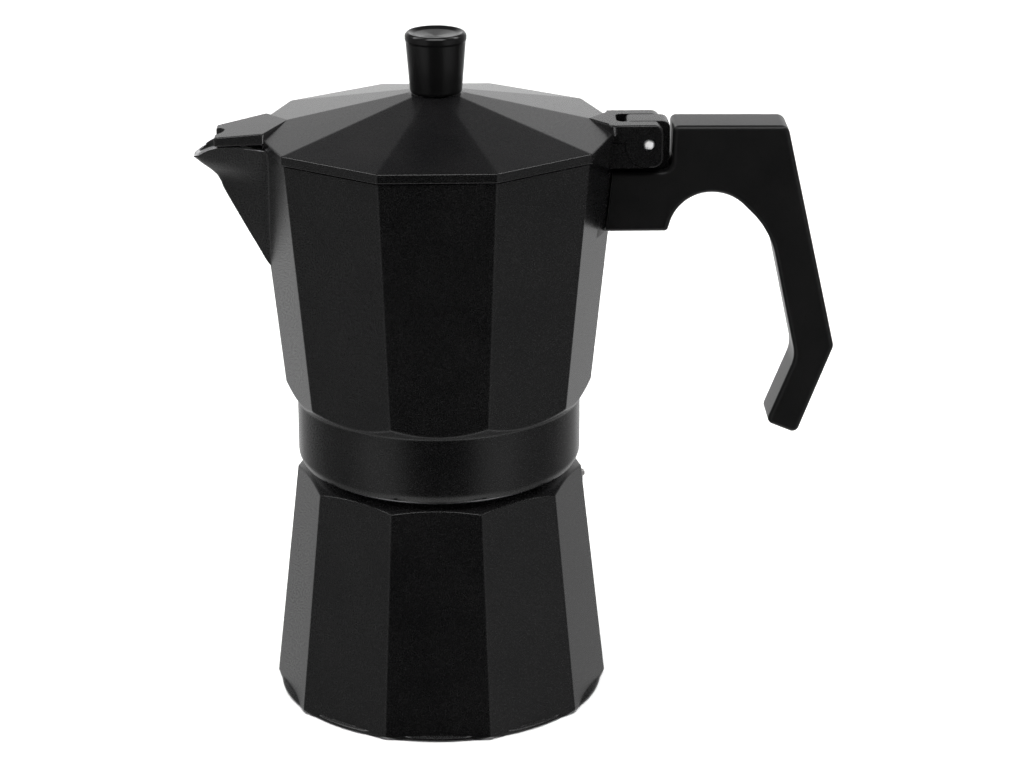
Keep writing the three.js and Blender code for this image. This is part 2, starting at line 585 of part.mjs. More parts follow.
function upperVessel() {
  const past = vesselTopRadius + 3;
  const envelope = turned([[0, collarBottom], [collarRadius - COLLAR_CHAMFER_WIDTH, collarBottom],
    [collarRadius, collarBottom + COLLAR_CHAMFER_HEIGHT], [collarRadius, collarTop],
    [vesselFootRadius, vesselFoot], [past, vesselFoot + 6], [past, vesselTop + 1], [0, vesselTop + 1]]);
  const sides = faceted(vesselRadiusAt(collarTop - 2), collarTop - 2, vesselTopRadius, vesselTop);
  const collar = turned([[0, collarBottom], [collarRadius - COLLAR_CHAMFER_WIDTH, collarBottom],
    [collarRadius, collarBottom + COLLAR_CHAMFER_HEIGHT], [collarRadius, collarTop], [0, collarTop]]);

  const wallOff = VESSEL_WALL / COS_SIDE;
  const room = faceted(vesselRadiusAt(wallFloor) - wallOff, wallFloor, vesselTopRadius - wallOff, vesselTop);
  const lip = faceted(vesselTopRadius - wallOff, vesselTop - 0.01, vesselTopRadius - wallOff, vesselTop + 3);
  const bossRadius = COLUMN_BASE_RADIUS + BOSS_WIDTH;
  const aboveFloor = turned([[0, bossTop], [bossRadius, bossTop],
    [bossRadius + 2, wallFloor + VESSEL_FLOOR_CONE], [collarRadius - VESSEL_WALL, wallFloor],
    [vesselFootRadius - VESSEL_WALL, vesselFoot], [past, vesselFoot + 6], [past, vesselTop + 3], [0, vesselTop + 3]]);

  const boreStep = neckTop + GAP;
  const underside = turned([[0, collarBottom - 1], [collarBore, collarBottom - 1], [collarBore, boreStep],
    [gasketRadius + GAP, boreStep + 0.3], [gasketRadius + GAP, seatHeight], [seatRadius, seatHeight],
    [SPIGOT_RADIUS + GAP, seatHeight + CHAMBER_HEIGHT], [SPIGOT_RADIUS + GAP, bossTop + 1], [0, bossTop + 1]]);
  const thread = threadRidge(collarBore, -1, FEMALE_THREAD_TURNS, neckFoot + 3.0 - THREAD_PITCH / 2)
    .intersect(ring(collarBore + 1, collarBore - THREAD_DEPTH - 1, collarBottom + 0.2, boreStep));

  const shell = cut(union([sides.intersect(envelope), collar, handlePad(), cut(spout(0), [aboveLip()])]),
    [room.add(lip).intersect(aboveFloor), spout(SPOUT_WALL), underside]);
  return union([shell, thread, hingeBracket().subtract(room.add(lip))]);
}
place('upper_vessel', upperVessel(), 'coatedBlack');

// ---- Column -------------------------------------------------------------------------------

function column() {
  const foot = bossTop + GAP;
  const top = foot + COLUMN_HEIGHT;
  const whole = turned([[0, seatHeight + CHAMBER_HEIGHT], [SPIGOT_RADIUS, seatHeight + CHAMBER_HEIGHT],
    [SPIGOT_RADIUS, foot], [COLUMN_BASE_RADIUS, foot], [COLUMN_TOP_RADIUS, top - 2],
    [COLUMN_TOP_RADIUS - 2, top],
    [0, top]], 24);
  const bore = rod(COLUMN_BORE, seatHeight, top - COLUMN_CAP, 16);
  const slots = solid(new THREE.BoxGeometry(2 * COLUMN_BORE - 1, 4 * COLUMN_TOP_RADIUS, 4)
    .translate(0, 0, top - COLUMN_CAP - 2.5));
  return cut(whole, [bore, slots]);
}
place('column', column(), 'bareAluminium');

// ---- Lid ----------------------------------------------------------------------------------

// A tab standing on the rim: its top outline slopes by slope, its foot is spread outwards.
function tab(side, start, slope, outline) {
  const height = (x) => ridgeHeight(start) - slope * (x - start);
  const top = outline.map(([x, y]) => [side * x, y, height(x)]);
  const foot = outline.map(([x, y, spread]) => [side * x, y * spread, height(x) - TAB_THICKNESS]);
  return loft([foot, top]);
}

function spoutTab() {
  const tip = lidRadius + SPOUT_TAB_REACH;
  const root = SPOUT_TAB_START + 6.7;
  const whole = tab(-1, SPOUT_TAB_START, SPOUT_TAB_SLOPE, [[SPOUT_TAB_START, 0, 1],
    [root, SPOUT_TAB_ROOT_HALF, 1.2], [tip, SPOUT_TAB_TIP_HALF, 1.05],
    [tip, -SPOUT_TAB_TIP_HALF, 1.05], [root, -SPOUT_TAB_ROOT_HALF, 1.2]]);
  const notch = rod(SPOUT_TAB_NOTCH, lidBottom - 4, lidPoint, 24)
    .translate([-tip - SPOUT_TAB_NOTCH + 2.2, 0, 0]);
  return cut(whole, [notch]);
}

function hingeFork() {
  const root = lidRadius - 2.7;
  const plate = tab(1, HINGE_TAB_START, 0, [[HINGE_TAB_START, 0, 1], [root, -FORK_HALF_WIDTH, 1.35],
    [root + 1, -FORK_HALF_WIDTH, 1], [root + 1, FORK_HALF_WIDTH, 1], [root, FORK_HALF_WIDTH, 1.35]]);
  const back = hingeX + EAR_BACK;
  const foot = hingeZ - EAR_RADIUS;
  const ear = sideSolid(roundedShape([[root - 1.5, lidBottom], [hingeX - EAR_RADIUS - 1, lidBottom],
    [hingeX - EAR_RADIUS - 1, foot], [back, foot, 3.0], [back, hingeTabTop, 2.6],
    [root - 1.5, hingeTabTop]]), -FORK_HALF_WIDTH, FORK_HALF_WIDTH);
  // below the rim only the round end about the pin is left
  const below = sideSolid(roundedShape([[root - 3, foot - 2], [hingeX, foot - 2], [hingeX, lidBottom],
    [root - 3, lidBottom]]), -FORK_HALF_WIDTH - 1, FORK_HALF_WIDTH + 1);
  const round = acrossY(EAR_RADIUS, -FORK_HALF_WIDTH - 2, FORK_HALF_WIDTH + 2, 48);
  return union([plate, cut(ear, [cut(below, [round])])]);
}

function forkSlot() {
  const half = LUG_HALF_WIDTH + MOVING_GAP;
  const shape = roundedShape([[slotRoot, -half, SLOT_CORNER], [hingeX + 20, -half], [hingeX + 20, half],
    [slotRoot, half, SLOT_CORNER]]);
  const geometry = new THREE.ExtrudeGeometry(shape, { depth: 40, bevelEnabled: false, curveSegments: 4 });
  return solid(geometry.translate(0, 0, hingeZ - 20));
}

function lid() {
  const rim = faceted(lidRadius, lidBottom, lidRadius, lidRimTop);
  const slopes = faceted(lidRadius, lidRimTop - 0.01, lidRadius * (lidPoint - knobFlat) / LID_RISE, knobFlat);
  const inRadius = vesselTopRadius - VESSEL_WALL / COS_SIDE - LID_REST_WIDTH;
  const inTop = ridgeHeight(inRadius) - LID_THICKNESS;
  const ceilingRadius = (lidPoint - LID_THICKNESS - lidCeiling) / lidSlope;
  const under = faceted(inRadius, lidBottom - 1, inRadius, inTop + 0.01);
  const hollow = faceted(inRadius, inTop, ceilingRadius, lidCeiling);
  const screwHole = rod(SCREW_RADIUS + GAP, lidCeiling - 2, lidPoint + 2, 16);
  const pinHole = acrossY(PIN_RADIUS + PIN_CLEARANCE, -FORK_HALF_WIDTH - 1, FORK_HALF_WIDTH + 1, 16);
  return cut(union([rim, slopes, spoutTab(), hingeFork()]), [under, hollow, screwHole, pinHole, forkSlot()]);
}
place('lid', lid(), 'coatedBlack');
place('hinge_pin', acrossY(PIN_RADIUS, -FORK_HALF_WIDTH + 0.2, FORK_HALF_WIDTH - 0.2, 16), 'steel');

// ---- Knob ---------------------------------------------------------------------------------

const knobBottom = knobFlat + GAP;
const knobTop = knobBottom + KNOB_HEIGHT;
const insertBottom = knobBottom + 0.5;
const insertRadius = SCREW_RADIUS + GAP + INSERT_WALL;
const washerTop = lidCeiling - GAP;

function knob() {
  const whole = turned([[0, knobBottom], [KNOB_BASE_RADIUS - 0.6, knobBottom],
    [KNOB_BASE_RADIUS, knobBottom + 0.6], [KNOB_TOP_RADIUS, knobTop - KNOB_EDGE],
    [KNOB_TOP_RADIUS - KNOB_EDGE * 0.3, knobTop - KNOB_EDGE * 0.3],
    [KNOB_TOP_RADIUS - KNOB_EDGE, knobTop], [KNOB_TOP_RADIUS - KNOB_EDGE * 2, knobTop - KNOB_DISH * 0.5],
    [KNOB_TOP_RADIUS / 2, knobTop - KNOB_DISH], [0, knobTop - KNOB_DISH]], 32);
  const pocket = rod(insertRadius + GAP, knobBottom - 1, insertBottom + INSERT_LENGTH + GAP, 20);
  const screwTip = rod(SCREW_RADIUS + GAP, knobBottom, knobBottom + KNOB_SCREW_REACH + GAP, 16);
  return cut(whole, [pocket, screwTip]);
}
place('lid_knob', knob(), 'blackPlastic');
place('knob_insert', ring(insertRadius, SCREW_RADIUS + GAP, insertBottom, insertBottom + INSERT_LENGTH, 20),
  'brass');
const knobWasher = ring(SCREW_HEAD_RADIUS + 0.9, SCREW_RADIUS + GAP, washerTop - 0.8, washerTop, 24);
place('knob_washer', knobWasher, 'steel');

// A screw with its head's bearing face at z = 0 and its shank going up.
function screw(length) {
  return turned([[0, -SCREW_HEAD_HEIGHT], [SCREW_HEAD_RADIUS - 1.2, -SCREW_HEAD_HEIGHT],
    [SCREW_HEAD_RADIUS, -SCREW_HEAD_HEIGHT * 0.5], [SCREW_HEAD_RADIUS, 0], [SCREW_RADIUS, 0],
    [SCREW_RADIUS, length - 0.6], [SCREW_RADIUS - 0.6, length], [0, length]], 20)
    .subtract(solid(new THREE.BoxGeometry(2 * SCREW_HEAD_RADIUS + 1, 1.0, 2)
      .translate(0, 0, -SCREW_HEAD_HEIGHT)));
}
const knobScrewSeat = washerTop - 0.8 - GAP;
const knobScrew = screw(knobBottom + KNOB_SCREW_REACH - knobScrewSeat).translate([0, 0, knobScrewSeat]);
place('knob_screw', knobScrew, 'steel');

// ---- Handle -------------------------------------------------------------------------------

const handleFoot = vesselTop - HANDLE_FOOT_DROP;
const handleTop = hingeTabTop - 0.7;
const recessX = hingeX + 6.7;
const recessZ = hingeZ - EAR_RADIUS - 1.6;
const headRoom = handleFoot + SCREW_RECESS;

// Side view corners as [past the pin's axis, above the mount's lower face, corner radius].
const HANDLE_CORNERS = [[-13.0, 0.0], [5.7, 0.0, 1.2], [9.2, 11.55, 12.3], [23.95, 11.55, 13.3],
  [35.75, -0.25, 26.0], [44.05, -38.9, 10.0], [35.97, -59.3, 1.6], [45.05, -63.1, 1.8],
  [55.39, -35.8, 2.5], [40.15, 31.3, 2.0]];

function handle() {
  const outline = HANDLE_CORNERS.map(([x, z, r]) => [hingeX + x, handleFoot + z, r]);
  outline.push([recessX + 0.3, handleTop, 0.8], [recessX, recessZ, 3.0], [hingeX - 13.0, recessZ]);
  const whole = sideSolid(roundedShape(outline), -HANDLE_HALF_WIDTH, HANDLE_HALF_WIDTH, 6);
  const level = (z) => {
    const corner = vesselRadiusAt(z) + GAP / COS_SIDE;
    const away = HANDLE_HALF_WIDTH + 2;
    const face = padFace(z) + GAP;
    const meet = (corner - face) / TAN_SIDE;
    return [[face - 15, -away, z], [face, -away, z], [face, -meet, z], [corner, 0, z], [face, meet, z],
      [face, away, z], [face - 15, away, z]];
  };
  const wallRoom = loft([level(handleFoot - 5), level(vesselTop)]);
  const lugSlot = sideSolid(roundedShape([[hingeX - 16, lugFoot - GAP], [hingeX + LUG_RIGHT + GAP, lugFoot - GAP],
    [hingeX + LUG_RIGHT + GAP, vesselTop + 9], [hingeX - 16, vesselTop + 9]]),
  -LUG_HALF_WIDTH - GAP, LUG_HALF_WIDTH + GAP);
  const shank = rod(SCREW_RADIUS + GAP, handleFoot - 2, lugFoot + 1, 16).translate([screwX, 0, 0]);
  const head = rod(SCREW_HEAD_RADIUS + 0.6, handleFoot - 2, headRoom, 20).translate([screwX, 0, 0]);
  return cut(whole, [wallRoom, lugSlot, shank, head]);
}
place('handle', handle(), 'blackPlastic');
place('handle_screw', screw(screwTop - headRoom + GAP).translate([screwX, 0, headRoom - GAP]), 'steel');

export default pot;
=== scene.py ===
"""Looks of the moka pot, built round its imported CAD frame.

Pieces are modelled in millimetres and stored in metres.
"""
import json
import math

import bmesh
import bpy
import numpy as np
from mathutils import Matrix, Vector

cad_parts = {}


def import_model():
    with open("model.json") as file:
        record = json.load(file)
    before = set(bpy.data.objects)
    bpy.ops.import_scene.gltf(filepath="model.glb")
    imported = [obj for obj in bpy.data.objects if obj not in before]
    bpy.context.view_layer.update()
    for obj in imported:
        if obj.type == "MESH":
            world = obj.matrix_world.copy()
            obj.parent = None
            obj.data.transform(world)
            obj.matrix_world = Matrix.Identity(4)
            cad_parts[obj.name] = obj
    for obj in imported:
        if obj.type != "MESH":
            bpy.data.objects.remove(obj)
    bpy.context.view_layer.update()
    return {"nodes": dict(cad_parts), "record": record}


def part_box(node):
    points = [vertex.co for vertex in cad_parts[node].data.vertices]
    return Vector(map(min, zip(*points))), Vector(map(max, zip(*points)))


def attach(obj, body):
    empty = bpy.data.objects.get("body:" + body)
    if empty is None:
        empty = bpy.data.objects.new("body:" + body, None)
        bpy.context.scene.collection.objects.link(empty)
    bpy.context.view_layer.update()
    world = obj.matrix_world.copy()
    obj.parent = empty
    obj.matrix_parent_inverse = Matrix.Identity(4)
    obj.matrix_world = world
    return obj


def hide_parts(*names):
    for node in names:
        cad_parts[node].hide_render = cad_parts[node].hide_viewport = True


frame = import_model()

MM = 0.001
DEG = math.pi / 180


def node_box(node):
    """A CAD node's lowest and highest corners, in millimetres."""
    low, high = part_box(node)
    return Vector(low) / MM, Vector(high) / MM


# ---- Places read from the frame -----------------------------------------------------------

boiler_high = node_box("boiler")[1]
vessel_low = node_box("upper_vessel")[0]
lid_high = node_box("lid")[1]
knob_low, knob_high = node_box("lid_knob")
pin_low, pin_high = node_box("hinge_pin")
column_low, column_high = node_box("column")

NECK_TOP = boiler_high.z
COLLAR_BOTTOM = vessel_low.z
HINGE_X = (pin_low.x + pin_high.x) / 2
HINGE_Z = (pin_low.z + pin_high.z) / 2
VESSEL_TOP = HINGE_Z + 0.6
LID_BOTTOM = VESSEL_TOP + 0.3
LID_FLAT = lid_high.z

# ---- Sizes of the real pieces, in millimetres ---------------------------------------------

SIDES = 10
HALF_SIDE = math.pi / SIDES
COS_SIDE = math.cos(HALF_SIDE)
TAN_SIDE = math.tan(HALF_SIDE)
EDGE = 1.3                      # rounding of the cast corners

NECK_RADIUS = 37.4
NECK_BORE = 34.4
THREAD_PITCH = 3.0
THREAD_DEPTH = 0.9
THREAD_START = 3.0              # above the neck's foot
RIDGE_HALF = 0.85               # half of the ridge's width at its root
RIDGE_FLANK = 0.45              # width of its slanted side
MALE_TURNS = 2.4
FEMALE_TURNS = 2.0
SHOULDER_SLOPE = 0.488

BOILER_HEIGHT = NECK_TOP - 13.9
BOILER_TOP_RADIUS = 42.45
BOILER_BASE_RADIUS = 50.0
BOILER_TWIST = -1.53 * DEG
FOOT_RADIUS = 48.75
# the foot's outline as heights and radii past the foot's own
FOOT_EDGE = [(0.25, -0.15), (0.5, 0.0), (0.9, 0.0), (1.1, -0.05), (1.25, -0.25), (1.35, -0.55),
             (1.4, -0.95)]
BOILER_WALL = 3.0
BOILER_FLOOR = 3.5
NECK_FOOT = BOILER_HEIGHT + (BOILER_TOP_RADIUS - NECK_RADIUS) * SHOULDER_SLOPE

COLLAR_RADIUS = 41.9
COLLAR_BORE = 38.65
COLLAR_TOP = NECK_TOP + 9.8
# the collar's lower edge as radii past the collar's and heights above its foot
COLLAR_EDGE = [(-1.55, 0.0), (-1.2, 0.05), (-0.95, 0.25), (-0.3, 1.7), (-0.08, 2.4), (0.0, 3.2), (0.0, 8.0)]
SPREAD_SLOPE = 1.02             # rise over reach of the turned step between collar and facets
VESSEL_FOOT = NECK_TOP + 13.1
VESSEL_FOOT_RADIUS = 45.27
VESSEL_TOP_RADIUS = 52.94
VESSEL_WALL = 2.8
GASKET_SEAT = NECK_TOP + 6.0
GASKET_ROOM = 36.9
VESSEL_FLOOR = NECK_TOP + 10.5  # where the wall meets it
BOSS_TOP = NECK_TOP + 17.5

SPOUT_HEIGHT = 39.0
SPOUT_HALF_WIDTH = 14.9
SPOUT_WALL = 2.3
# the beak's reach past the wall's corner and its nose's radius at each depth below the rim
SPOUT_DROPS = [0.0, 5.7, 7.9, 9.5, 15.5, 21.6, 27.7, 34.4, 39.0]
SPOUT_REACHES = [19.2, 17.2, 14.6, 12.7, 10.1, 7.5, 4.9, 1.95, 0.15]
SPOUT_NOSES = [5.0, 4.6, 3.6, 2.8, 2.1, 1.7, 1.3, 0.8, 0.5]
LIP_DROP = 5.7
LIP_LENGTH = 13.0
LIP_SOFT = 4.2                  # half the stretch over which the lip's fall sets in
LIP_BEND = 24.0                 # depth below the top at which the rim's fall has died out

LID_RADIUS = 53.73
LID_RIM = 2.7
LID_RISE = 12.0
LID_SLOPE = LID_RISE / LID_RADIUS
LID_POINT = LID_BOTTOM + LID_RIM + LID_RISE

FORK_HALF = 9.3
LUG_HALF = 4.1
EAR_RADIUS = 6.8
TAB_THICKNESS = 2.6
TAB_START = 42.6                # where the spout's tab leaves the lid's ridge
TAB_SLOPE = 0.162
FORK_START = 43.7               # where the hinge's plate leaves it
FORK_REACH = 4.1                # of the ears, past the pin's axis
SLOT_CORNER = 2.0
PIN_HOLE = 1.8

VALVE_HEX_RADIUS = 4.8
VALVE_HEX_FOOT, VALVE_HEX_TOP = 1.2, 2.6
VALVE_STEM_RADIUS = 3.6
VALVE_STEM_FOOT = -6.0
VALVE_NOSE_RADIUS = 3.2
VALVE_NOSE_TOP = 3.3
VALVE_BORE = 2.4
STEAM_HOLE = 1.0
PLUNGER_RADIUS = 1.1
PLUNGER_TOP = 4.8


# ---- Materials ----------------------------------------------------------------------------

def node_material(name, base, metallic, roughness, specular=0.5):
    """A Principled material whose even values sit on the shader's own sockets."""
    material = bpy.data.materials.new(name)
    material.use_nodes = True
    shader = material.node_tree.nodes["Principled BSDF"]
    shader.inputs["Base Color"].default_value = (*base, 1.0)
    shader.inputs["Metallic"].default_value = metallic
    shader.inputs["Roughness"].default_value = roughness
    shader.inputs["Specular IOR Level"].default_value = specular
    return material, shader


def add(material, kind, **settings):
    node = material.node_tree.nodes.new(kind)
    for key, value in settings.items():
        if key in node.inputs:
            node.inputs[key].default_value = value
        else:
            setattr(node, key, value)
    return node


def wire(material, source, target):
    material.node_tree.links.new(source, target)


def place_coordinates(material, stretch=(1.0, 1.0, 1.0)):
    """The object's own coordinates in millimetres, stretched along each axis."""
    coordinates = add(material, "ShaderNodeTexCoord")
    mapping = add(material, "ShaderNodeMapping")
    mapping.inputs["Scale"].default_value = [s / MM for s in stretch]
    wire(material, coordinates.outputs["Object"], mapping.inputs["Vector"])
    return mapping.outputs["Vector"]


def noise(material, vector, scale, detail=3.0, roughness=0.55):
    node = add(material, "ShaderNodeTexNoise", Scale=scale, Detail=detail, Roughness=roughness)
    wire(material, vector, node.inputs["Vector"])
    return node.outputs["Fac"]


def ranged(material, value, low, high, from_low=0.3, from_high=0.7):
    node = add(material, "ShaderNodeMapRange")
    node.inputs["From Min"].default_value = from_low
    node.inputs["From Max"].default_value = from_high
    node.inputs["To Min"].default_value = low
    node.inputs["To Max"].default_value = high
    wire(material, value, node.inputs["Value"])
    return node.outputs["Result"]


def tinted(material, value, dark, light):
    node = add(material, "ShaderNodeMix", data_type="RGBA")
    node.inputs[6].default_value = (*dark, 1.0)
    node.inputs[7].default_value = (*light, 1.0)
    wire(material, value, node.inputs[0])
    return node.outputs[2]


def bumped(material, shader, heights):
    """Chains bumps, each (height, distance in mm, strength), into the shader's normal."""
    normal = None
    for height, distance, strength in heights:
        node = add(material, "ShaderNodeBump", Strength=strength, Distance=distance * MM)
        wire(material, height, node.inputs["Height"])
        if normal:
            wire(material, normal, node.inputs["Normal"])
        normal = node.outputs["Normal"]
    wire(material, normal, shader.inputs["Normal"])


def black_coating():
    """Satin black baked coating on cast and polished aluminium."""
    material, shader = node_material("black_coating", (0.004, 0.004, 0.0043), 0.0, 0.27, 0.5)
    place = place_coordinates(material)
    cloud = noise(material, place, 0.06, 4.0)
    grain = noise(material, place, 2.6, 2.0)
    orange_peel = noise(material, place, 0.55, 2.0)
    wire(material, tinted(material, ranged(material, cloud, 0.0, 1.0), (0.0032, 0.0032, 0.0035),
                          (0.0052, 0.0050, 0.0052)), shader.inputs["Base Color"])
    wire(material, ranged(material, grain, 0.24, 0.31), shader.inputs["Roughness"])
    bumped(material, shader, [(orange_peel, 0.004, 0.2), (grain, 0.003, 0.4)])
    return material


def black_plastic(name, rough, grain_strength):
    """Moulded phenolic plastic with a fine spark-eroded grain."""
    material, shader = node_material(name, (0.0055, 0.0055, 0.0057), 0.0, rough, 0.32)
    place = place_coordinates(material)
    cloud = noise(material, place, 0.09, 3.0)
    grain = noise(material, place, 3.4, 3.0, 0.65)
    wire(material, tinted(material, ranged(material, cloud, 0.0, 1.0), (0.0046, 0.0046, 0.0048),
                          (0.0066, 0.0064, 0.0065)), shader.inputs["Base Color"])
    wire(material, ranged(material, grain, rough - 0.05, rough + 0.07), shader.inputs["Roughness"])
    bumped(material, shader, [(grain, 0.035 * grain_strength, 0.6)])
    return material


def turned_metal(name, base, roughness, line=(6.0, 6.0, 6.0), metallic=1.0):
    """Bare machined metal: fine tool marks and slight staining."""
    material, shader = node_material(name, base, metallic, roughness)
    marks = noise(material, place_coordinates(material, line), 1.0, 3.0, 0.7)
    cloud = noise(material, place_coordinates(material), 0.12, 4.0)
    dark = tuple(0.82 * c for c in base)
    wire(material, tinted(material, ranged(material, cloud, 0.0, 1.0), dark, base),
         shader.inputs["Base Color"])
    wire(material, ranged(material, marks, roughness - 0.08, roughness + 0.12), shader.inputs["Roughness"])
    bumped(material, shader, [(marks, 0.02, 0.35)])
    return material


def silicone():
    material, shader = node_material("silicone", (0.80, 0.78, 0.72), 0.0, 0.55, 0.4)
    place = place_coordinates(material)
    cloud = noise(material, place, 0.2, 3.0)
    wire(material, tinted(material, ranged(material, cloud, 0.0, 1.0), (0.74, 0.71, 0.64),
                          (0.83, 0.81, 0.76)), shader.inputs["Base Color"])
    wire(material, ranged(material, noise(material, place, 1.5), 0.48, 0.62), shader.inputs["Roughness"])
    bumped(material, shader, [(cloud, 0.05, 0.3)])
    return material


COATING = black_coating()
PLASTIC = black_plastic("black_plastic", 0.32, 0.5)
KNOB_PLASTIC = black_plastic("knob_plastic", 0.19, 0.06)
ALUMINIUM = turned_metal("bare_aluminium", (0.80, 0.80, 0.81), 0.30, (0.4, 0.4, 9.0))
STEEL = turned_metal("steel", (0.72, 0.71, 0.70), 0.42)
PIN_STEEL = turned_metal("bright_steel", (0.93, 0.93, 0.93), 0.45, metallic=0.2)
BRASS = turned_metal("brass", (0.74, 0.56, 0.27), 0.30)
SILICONE = silicone()
FINISHES = {"black_coating": COATING, "black_plastic": PLASTIC, "bare_aluminium": ALUMINIUM, "steel": STEEL,
            "brass": BRASS, "silicone": SILICONE}


# ---- Mesh helpers -------------------------------------------------------------------------

def mesh_piece(name, places, faces, materials, face_material=None):
    """An object from millimetre places, with its faces turned out and its broad faces left flat."""
    mesh = bpy.data.meshes.new(name)
    mesh.from_pydata([Vector(p) * MM for p in places], [], faces)
    for material in materials:
        mesh.materials.append(material)
    if face_material is not None:
        mesh.polygons.foreach_set("material_index", face_material)
    shape = bmesh.new()
    shape.from_mesh(mesh)
    bmesh.ops.remove_doubles(shape, verts=shape.verts, dist=1e-7)
    bmesh.ops.recalc_face_normals(shape, faces=shape.faces)
    shape.to_mesh(mesh)
    shape.free()
    piece = bpy.data.objects.new(name, mesh)
    bpy.context.scene.collection.objects.link(piece)
    return piece


def finish_piece(piece, body, slot, *nodes, sharp=35):
    """Smooth shading that keeps real edges, and the CAD body and nodes the piece stands for; the slot
    argument is not used.
    """
    piece.data.shade_smooth()
    piece.data.set_sharp_from_angle(angle=sharp * DEG)
    weighted = piece.modifiers.new("even_facets", "WEIGHTED_NORMAL")
    weighted.keep_sharp = True
    weighted.weight = 80
    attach(piece, body)
    if nodes:
        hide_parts(*nodes)
    return piece


def combine(piece, others, operation):
    """Joins or cuts a piece with others, then deletes the others."""
    for other in others:
        modifier = piece.modifiers.new("combine", "BOOLEAN")
        modifier.operation = operation
        modifier.solver = "EXACT"
        modifier.object = other
        graph = bpy.context.evaluated_depsgraph_get()
        made = bpy.data.meshes.new_from_object(piece.evaluated_get(graph), depsgraph=graph)
        piece.modifiers.clear()
        old = piece.data
        piece.data = made
        bpy.data.meshes.remove(old)
        bpy.data.objects.remove(other)
    return piece


def ring_faces(rings, count, cap_first=False, cap_last=False):
    faces = []
    for level in range(rings - 1):
        for i in range(count):
            a, b = level * count + i, level * count + (i + 1) % count
            faces.append((a, b, b + count, a + count))
    if cap_first:
        faces.append(tuple(range(count - 1, -1, -1)))
    if cap_last:
        faces.append(tuple((rings - 1) * count + i for i in range(count)))
    return faces


def turned_piece(name, profile, materials, steps=96, centre=(0.0, 0.0), closed=False):
    """A lathed piece from [radius, height] points; a closed profile makes a ring."""
    angles = np.arange(steps) * 2 * math.pi / steps
    places = []
    for radius, height in profile:
        r = max(radius, 1e-4)
        places += [(centre[0] + r * math.cos(a), centre[1] + r * math.sin(a), height) for a in angles]
    rings = len(profile)
    if closed:
        places += places[:steps]
        rings += 1
    faces = ring_faces(rings, steps, not closed, not closed)
    return mesh_piece(name, places, faces, materials)


def rounded_corners(corners, steps=8, closed=True):
    """Points of an outline whose corners are (x, y, radius), each turned with an arc."""
    points = []
    count = len(corners)
    for i, corner in enumerate(corners):
        here = Vector(corner[:2])
        radius = corner[2] if len(corner) > 2 else 0.0
        if radius == 0 or (not closed and i in (0, count - 1)):
            points.append(tuple(here))
            continue
        before = (Vector(corners[i - 1][:2]) - here).normalized()
        after = (Vector(corners[(i + 1) % count][:2]) - here).normalized()
        half = before.angle(after) / 2
        centre = here + (before + after).normalized() * radius / math.sin(half)
        start = here + before * radius / math.tan(half) - centre
        end = here + after * radius / math.tan(half) - centre
        sweep = start.angle_signed(end)
        for k in range(steps + 1):
            turn = -sweep * k / steps
            points.append((centre.x + start.x * math.cos(turn) - start.y * math.sin(turn),
                           centre.y + start.x * math.sin(turn) + start.y * math.cos(turn)))
    return points


def inset(points, depth):
    """The outline moved inwards by depth; points run anticlockwise."""
    ring = np.array(points)
    ahead = np.roll(ring, -1, axis=0) - ring
    ahead /= np.linalg.norm(ahead, axis=1)[:, None] + 1e-12
    back = np.roll(ahead, 1, axis=0)
    normal = np.stack([-(ahead + back)[:, 1], (ahead + back)[:, 0]], axis=1)
    normal /= np.linalg.norm(normal, axis=1)[:, None] + 1e-12
    across = np.stack([-ahead[:, 1], ahead[:, 0]], axis=1)
    lean = np.clip((normal * across).sum(axis=1), 0.4, 1.0)
    return ring + normal * (depth / lean)[:, None]


def side_piece(name, outline, y0, y1, materials, fillet=0.0, steps=5):
    """A side view outline (x, z) run across Y, with its long edges rounded by fillet."""
    area = sum(a[0] * b[1] - b[0] * a[1] for a, b in zip(outline, outline[1:] + outline[:1]))
    outline = outline if area > 0 else outline[::-1]
    levels = [(y0, 0.0), (y1, 0.0)]
    if fillet:
        turns = [k * math.pi / 2 / steps for k in range(steps + 1)]
        near = [(y0 + fillet * (1 - math.sin(t)), fillet * (1 - math.cos(t))) for t in reversed(turns)]
        far = [(y1 - fillet * (1 - math.sin(t)), fillet * (1 - math.cos(t))) for t in turns]
        levels = near + far
    places = []
    for y, depth in levels:
        ring = inset(outline, depth) if depth else np.array(outline)
        places += [(x, y, z) for x, z in ring]
    return mesh_piece(name, places, ring_faces(len(levels), len(outline), True, True), materials)


def block(name, low, high):
    corners = [(x, y, z) for z in (low[2], high[2]) for x, y in
               ((low[0], low[1]), (high[0], low[1]), (high[0], high[1]), (low[0], high[1]))]
    return mesh_piece(name, corners, ring_faces(2, 4, True, True), [])


def loft_piece(name, outlines, materials):
    count = len(outlines[0])
    places = [p for outline in outlines for p in outline]
    return mesh_piece(name, places, ring_faces(len(outlines), count, True, True), materials)


def bevel_edges(piece, width, segments=3, steeper_than=12):
    """Rounds every edge that turns by more than steeper_than degrees."""
    shape = bmesh.new()
    shape.from_mesh(piece.data)
    chosen = [e for e in shape.edges if len(e.link_faces) == 2
              and e.calc_face_angle(0) > steeper_than * DEG]
    bmesh.ops.bevel(shape, geom=chosen, offset=width * MM, segments=segments, profile=0.5,
                    affect="EDGES", clamp_overlap=True)
    bmesh.ops.recalc_face_normals(shape, faces=shape.faces)
    shape.to_mesh(piece.data)
    shape.free()
    return piece


def across_y(piece, x, z):
    """Lays a piece turned about Z along Y, through (x, z)."""
    turn = Matrix.Translation((x * MM, 0, z * MM)) @ Matrix.Rotation(-math.pi / 2, 4, "X")
    piece.data.transform(turn)
    return piece


# ---- Round and faceted surfaces as radii over the angle -----------------------------------

